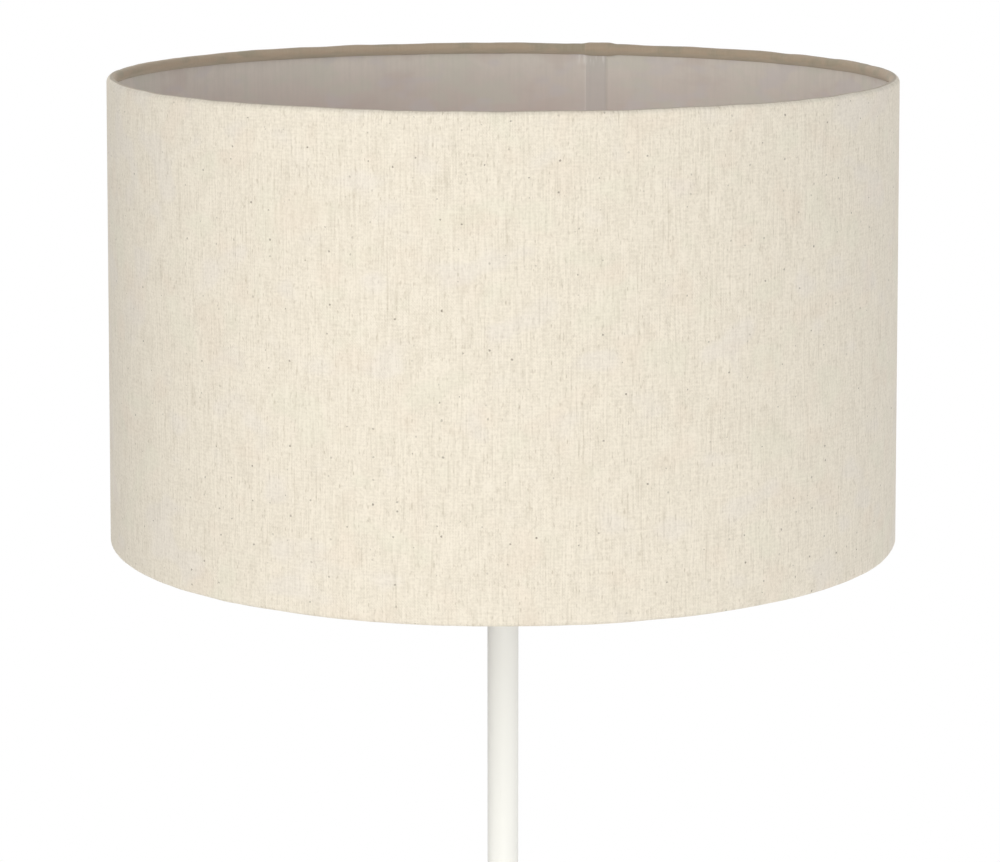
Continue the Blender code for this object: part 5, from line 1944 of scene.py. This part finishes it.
@dataclass
class HingeHardware:
    """The bolts, washers and clamping knobs of the leg hinges."""

    shop: Workshop
    seats: Sequence[HingeSeat]
    lug: float = 10.6 * MM
    tongue: float = 8 * MM
    bolt: float = 3 * MM
    bolt_hole: float = 3.35 * MM
    head: float = 6 * MM
    head_height: float = 3.6 * MM
    washer: float = 8 * MM
    washer_thickness: float = 1 * MM
    knob: float = 11 * MM
    knob_height: float = 11 * MM
    neck: float = 6.5 * MM
    neck_height: float = 3 * MM

    def seat_matrix(self, seat: HingeSeat) -> Matrix:
        """Puts a piece turned about Z on a seat's pin."""
        return seat.lug_matrix @ Matrix.Rotation(-math.pi / 2, 4, "X")

    def build(self) -> None:
        """Makes the bolts and washers in threes, and one knob for each hinge."""
        first = self.seats[0]
        low = self.lug + GAP
        shoulder = low + self.neck_height
        top = shoulder + self.knob_height
        self.make_bolts(first, top - 3 * MM)
        self.make_washers(first)
        for seat in self.seats:
            self.make_knob(seat, low, shoulder, top)

    def make_bolts(self, first: HingeSeat, bore_end: float) -> None:
        """The three bolts, with domed heads and threads inside the knobs.

        Args:
            first: The first hinge.
            bore_end: The end of a knob's bore.
        """
        face = -self.lug - GAP
        end, tip = face - self.head_height, bore_end - MM
        corners = [
            (0, tip), (self.bolt, tip, 0.5), (self.bolt, face, 0.2), (self.head, face, 0.3),
            (self.head, face - 0.8 * MM, 0.6), (self.head * 0.8, end + 0.7 * MM, 2),
            (self.head * 0.45, end, 1.5), (0, end),
        ]
        thread = Relief(self.lug, tip - 0.5 * MM, MM, pitch=MM, thread_depth=0.5 * MM)
        bolt = self.shop.turn("bolt", corners, STEEL, 48, thread, 0.25 * MM)
        bolt = cross_recess(bolt, (0, 0, end), (0, 0, 1), 2.6 * MM)
        bolt.data.transform(Matrix.Rotation(-first.azimuth, 4, "Z") @ self.seat_matrix(first))
        piece = self.shop.rounds.repeat("hinge_bolts", bolt, STEEL, 3, first.azimuth)
        hand_over(piece, STEEL, "stand", *(f"hinge_bolt_{n}" for n in (1, 2, 3)))

    def make_washers(self, first: HingeSeat) -> None:
        """The six nylon washers, one on each side of each tongue.

        Args:
            first: The first hinge.
        """
        beside = self.tongue / 2 + GAP
        corners = sleeve(self.washer, self.bolt_hole, beside, beside + self.washer_thickness, 0.25)
        washer = self.shop.turn("washer", corners, NYLON, around=64, step=MM)
        twin = washer.data.copy()
        twin.transform(Matrix.Rotation(math.pi, 4, "X"))
        pair = bmesh.new()
        for mesh in (washer.data, twin):
            pair.from_mesh(mesh)
        pair.transform(Matrix.Rotation(-first.azimuth, 4, "Z") @ self.seat_matrix(first))
        pair.to_mesh(washer.data)
        pair.free()
        piece = self.shop.rounds.repeat("hinge_washers", washer, NYLON, 3, first.azimuth)
        hand_over(piece, NYLON, "stand", *(f"hinge_washer_{n}{side}" for n in (1, 2, 3) for side in "ab"))

    def make_knob(self, seat: HingeSeat, low: float, shoulder: float, top: float) -> None:
        """One knurled clamping knob.

        Args:
            seat: Its hinge.
            low: Where its neck starts along the pin.
            shoulder: Where its grip starts.
            top: Its end.
        """
        wide, bore_end = self.knob, top - 3 * MM
        corners = [
            (0, top - 0.6 * MM), (wide - 4.4 * MM, top - 0.6 * MM, 0.4),
            (wide - 3.6 * MM, top, 0.5), (wide - 1.6 * MM, top, 0.4),
            (wide, top - 1.6 * MM, 0.5),
            (wide, shoulder + 1.2 * MM, 0.5), (wide - 1.2 * MM, shoulder, 0.4),
            (self.neck, shoulder, 0.6), (self.neck, low, 0.4), (self.bolt_hole, low, 0.3),
            (self.bolt_hole, bore_end, 0.2), (0, bore_end),
        ]
        knurl = Relief(
            shoulder + 1.4 * MM, top - 1.8 * MM, wide - 0.5 * MM, flutes=36, flute_depth=0.6 * MM
        )
        self.shop.fit(
            f"clamp_knob_{seat.number}", "knurled", corners, STEEL, f"knob_{seat.number}",
            around=216, relief=knurl, step=0.9 * MM, matrix=self.seat_matrix(seat),
        )


# ---- Legs ----
@dataclass
class Leg:
    """One leg: the ferrule with its tongue, the turned leg, its fixing screw and the rubber foot."""

    shop: Workshop
    seat: HingeSeat
    top_radius: float = 12 * MM
    end_radius: float = 8 * MM
    tenon: float = 9.5 * MM
    ferrule: float = 13 * MM
    ferrule_start: float = 14 * MM
    ferrule_length: float = 42 * MM
    ferrule_roof: float = 6 * MM
    tongue: float = 8 * MM
    knuckle: float = 10 * MM
    bolt_hole: float = 3.35 * MM
    screw: float = 2 * MM
    sole: float = 7 * MM
    cup_depth: float = 16 * MM

    @property
    def name(self) -> str:
        """What its nodes' names start with."""
        return f"leg_{self.seat.number}"

    @property
    def ferrule_end(self) -> float:
        """The ferrule's mouth, down the leg from the pin."""
        return self.ferrule_start + self.ferrule_length

    @property
    def leg_end(self) -> float:
        """The wood's end, down the leg from the pin."""
        return self.seat.reach - self.sole

    @property
    def screw_level(self) -> float:
        """The fixing screw's place, down the leg from the pin."""
        return self.ferrule_start + self.ferrule_roof + 0.5 * (self.ferrule_length - self.ferrule_roof)

    def build(self) -> None:
        """Makes the four pieces of the leg."""
        self.make_ferrule()
        self.make_shaft()
        self.make_screw()
        self.make_foot()

    def place(self, piece: Solid, finish: Finish, node: str) -> Solid:
        """Puts a piece made at the pin, with the leg straight down, onto the open leg."""
        piece.data.transform(self.seat.leg_matrix)
        return hand_over(piece, finish, f"{self.name}_body", node)

    def screw_hole(self) -> Solid:
        """The cutter for the fixing screw's hole."""
        ends = [(-2 * self.ferrule, 0, -self.screw_level), (GAP - 0.3 * self.tenon, 0, -self.screw_level)]
        return drill("screw_hole", self.screw + 0.35 * MM, *ends)

    def make_ferrule(self) -> None:
        """The painted cup over the leg's top, and the tongue that the hinge clamps."""
        start, end, wide = -self.ferrule_start, -self.ferrule_end, self.ferrule
        roof, bore = start - self.ferrule_roof, self.tenon + GAP
        corners = [
            (0, start), (wide, start, 1.8), (wide, end + 2.2 * MM, 0.3),
            (wide - 0.4 * MM, end + 1.8 * MM, 0.2), (wide, end + 1.4 * MM, 0.3),
            (wide, end, 0.5), (bore, end, 0.2), (bore, roof), (0, roof),
        ]
        cup = self.shop.turn(f"{self.name}_ferrule_cup", corners, WHITE_PAINT, 96, step=3 * MM)
        foot = start - 0.5 * self.ferrule_roof
        outline = [(-self.knuckle, foot), *arc((0, 0), self.knuckle, 180, 0, 32), (self.knuckle, foot)]
        tongue = plate("tongue", outline, -self.tongue / 2, self.tongue / 2, 0.7 * MM)
        hole = drill("tongue_hole", self.bolt_hole, (0, -self.tongue, 0), (0, self.tongue, 0))
        cup = join_and_cut(cup, [tongue], [hole, self.screw_hole()])
        self.place(cup, WHITE_PAINT, f"{self.name}_ferrule")

    def make_shaft(self) -> None:
        """The turned wooden leg, tapering to its foot from a slight swell."""
        shoulder, end = self.ferrule_end + GAP, self.leg_end
        length = end - shoulder
        tenon_top = self.ferrule_start + self.ferrule_roof + GAP
        corners = [
            (0, -tenon_top), (self.tenon, -tenon_top, 1), (self.tenon, -shoulder),
            (self.top_radius, -shoulder, 0.9),
        ]
        rings, thinning = 13, self.top_radius - self.end_radius
        for ring in range(1, rings):
            share = ring / rings
            taper = share - 0.1 * share * (1 - share) if share > 0.4 else share * 0.94
            corners.append((self.top_radius - thinning * taper, -shoulder - share * length))
        corners += [(self.end_radius, -end, 0.8), (0, -end)]
        shaft = self.shop.turn(f"{self.name}_turned", corners, PAINTED_WOOD, 72, step=14 * MM)
        self.place(join_and_cut(shaft, [], [self.screw_hole()]), PAINTED_WOOD, self.name)

    def make_screw(self) -> None:
        """The round-headed screw that holds the ferrule, on the side towards the stem."""
        face, tip, head = self.ferrule + GAP, 0.3 * self.tenon, 3.5 * MM
        corners = [
            (0, tip), (0.6 * MM, tip, 0.2), (self.screw, tip + 2.4 * MM, 0.3),
            (self.screw, face, 0.2), (head, face, 0.2), (head, face + 0.7 * MM, 0.5),
            (head * 0.62, face + 2 * MM, 0.9), (0, face + 2 * MM),
        ]
        thread = Relief(tip + 2 * MM, face - MM, MM, pitch=1.2 * MM, thread_depth=0.55 * MM)
        name = f"{self.name}_screw_round_head"
        screw = self.shop.turn(name, corners, STEEL, 36, thread, 0.3 * MM)
        screw = cross_recess(screw, (0, 0, face + 2 * MM), (0, 0, -1), 2 * MM)
        turn = Matrix.Rotation(-math.pi / 2, 4, "Y")
        screw.data.transform(Matrix.Translation((0, 0, -self.screw_level)) @ turn)
        self.place(screw, STEEL, f"{self.name}_screw")

    def make_foot(self) -> None:
        """The rubber foot, ringed on its side and cut flat where it stands."""
        shoulder, end = self.ferrule_end + GAP, self.leg_end
        taper = (self.top_radius - self.end_radius) / (end - shoulder)
        bore = self.end_radius + taper * self.cup_depth + GAP
        wide, mouth = bore + 2.5 * MM, self.cup_depth - end
        low = -self.seat.reach - 2 * wide * math.tan(self.seat.splay)
        corners = [(0, low), (wide, low), (wide, mouth - 9.4 * MM, 0.3)]
        for ring in range(3):
            level = mouth - (8.8 - 2.6 * ring) * MM
            corners += [
                (wide - 0.6 * MM, level - 0.3 * MM, 0.3),
                (wide - 0.6 * MM, level + 0.3 * MM, 0.3),
                (wide, level + 0.6 * MM, 0.3), (wide, level + 1.7 * MM, 0.3),
            ]
        corners += [
            (wide, mouth, 0.9), (bore, mouth, 0.4), (bore, -end - GAP, 1), (0, -end - GAP)
        ]
        foot = self.shop.turn(f"{self.name}_foot_rubber", corners, RUBBER, 80, step=1.5 * MM)
        foot.data.transform(self.seat.leg_matrix)
        self.cut_flat(foot)
        hand_over(foot, RUBBER, f"{self.name}_body", f"{self.name}_foot")

    @staticmethod
    def cut_flat(foot: Solid) -> None:
        """Cuts a foot off level with the floor and fills the cut.

        Args:
            foot: The foot, in place.
        """
        shape = bmesh.new()
        shape.from_mesh(foot.data)
        geometry = [*shape.verts, *shape.edges, *shape.faces]
        cut = bmesh.ops.bisect_plane(
            shape, geom=geometry, dist=1e-7, plane_co=(0, 0, 0), plane_no=(0, 0, -1), clear_outer=True
        )
        edges = [one for one in cut["geom_cut"] if isinstance(one, bmesh.types.BMEdge)]
        bmesh.ops.holes_fill(shape, edges=edges, sides=0)
        shape.to_mesh(foot.data)
        shape.free()
        foot.data.set_sharp_from_angle(angle=math.radians(KEEP_ANGLE))


# ---- Studio ----
@dataclass
class Studio:
    """A white room with a pale floor and four soft lights round the lamp."""

    eye: Vector = field(default_factory=lambda: Vector((-0.0017, -1.967, 1.6710)))
    pitch: float = math.radians(10.825)
    lens: float = 125.6
    ambient: float = 0.382
    floor_radius: float = 2.9

    def build(self) -> None:
        """Makes the camera, the lights, the room and the floor."""
        scene = bpy.context.scene
        scene.view_settings.view_transform = "Standard"
        camera = bpy.data.cameras.new("camera")
        camera.lens, camera.clip_start, camera.clip_end = self.lens, 0.05, 60
        holder = bpy.data.objects.new("camera", camera)
        holder.location = self.eye
        holder.rotation_euler = (math.pi / 2 - self.pitch, 0, 0)
        scene.collection.objects.link(holder)
        scene.camera = holder
        self.make_room(scene)
        self.make_light("key", -32, 24, 3.2, 2.2, 50, (1.0, 1.0, 0.98))
        self.make_light("low", 7, -14, 3.3, 1.2, 33.0, (1.0, 1.0, 0.98))
        self.make_light("fill", 90, 12, 3.4, 2.4, 39, (0.98, 0.99, 1.0))
        self.make_light("back", -165, 30, 3.4, 2.4, 42, (1.0, 0.99, 0.96))
        self.make_floor()

    def make_room(self, scene: bpy.types.Scene) -> None:
        """A world that is white to the eye and lights the lamp evenly.

        Args:
            scene: The scene that gets it.
        """
        world = bpy.data.worlds.new("room")
        world.use_nodes = True
        scene.world = world
        bench = Bench(world.node_tree)
        background = world.node_tree.nodes["Background"]
        seen = bench.node("ShaderNodeLightPath", {}, {}, "Is Camera Ray")
        mirrored = seen.twin("Is Glossy Ray")
        glow = bench.maths("MAXIMUM", seen, mirrored) * (1 - self.ambient) + self.ambient
        background.inputs["Color"].default_value = (1, 1, 1, 1)
        world.node_tree.links.new(glow.socket, background.inputs["Strength"])

    def make_light(
        self, name: str, azimuth: float, height: float, distance: float, size: float, power: float,
        colour: Colour,
    ) -> None:
        """One soft square light aimed at the shade.

        Args:
            name: Its name.
            azimuth: Its bearing from the front, in degrees, to the right.
            height: Its angle above the shade, in degrees.
            distance: How far it is from the shade.
            size: The length of its side.
            power: Its power in watts.
            colour: Its colour.
        """
        light = bpy.data.lights.new(name, "AREA")
        light.energy, light.size, light.color = power, size, colour
        holder = bpy.data.objects.new(name, light)
        lamp = Vector((0, 0, 1.3))
        turn, rise = math.radians(azimuth), math.radians(height)
        way = Vector((math.sin(turn) * math.cos(rise), -math.cos(turn) * math.cos(rise), math.sin(rise)))
        holder.location = lamp + way * distance
        holder.rotation_euler = (-way).to_track_quat("-Z", "Y").to_euler()
        holder.visible_camera = False
        bpy.context.scene.collection.objects.link(holder)

    def make_floor(self) -> None:
        """A round pale floor just under the feet."""

        def build(shape: bmesh.types.BMesh) -> None:
            """One thin disc."""
            matrix = Matrix.Translation((0, 0, -0.0015))
            bmesh.ops.create_cone(
                shape, cap_ends=True, segments=96, radius1=self.floor_radius, radius2=self.floor_radius,
                depth=0.002, matrix=matrix,
            )

        shape_object("floor", build, FLOOR)


def main() -> None:
    """Builds the lamp, one sub-assembly after another, then the studio round it."""
    logging.basicConfig(level=logging.INFO, format="%(name)s: %(message)s")
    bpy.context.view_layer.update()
    shop, seats = Workshop(), HingeSeat.every()
    assemblies = [
        DrumShade(shop), Lampholder(shop), Bulb(shop), Stem(shop), Hub(shop, seats),
        HingeHardware(shop, seats), *(Leg(shop, seat) for seat in seats), Studio(),
    ]
    for assembly in assemblies:
        assembly.build()
        LOG.info("finished %s", type(assembly).__name__)


if __name__ == "__main__":
    main()
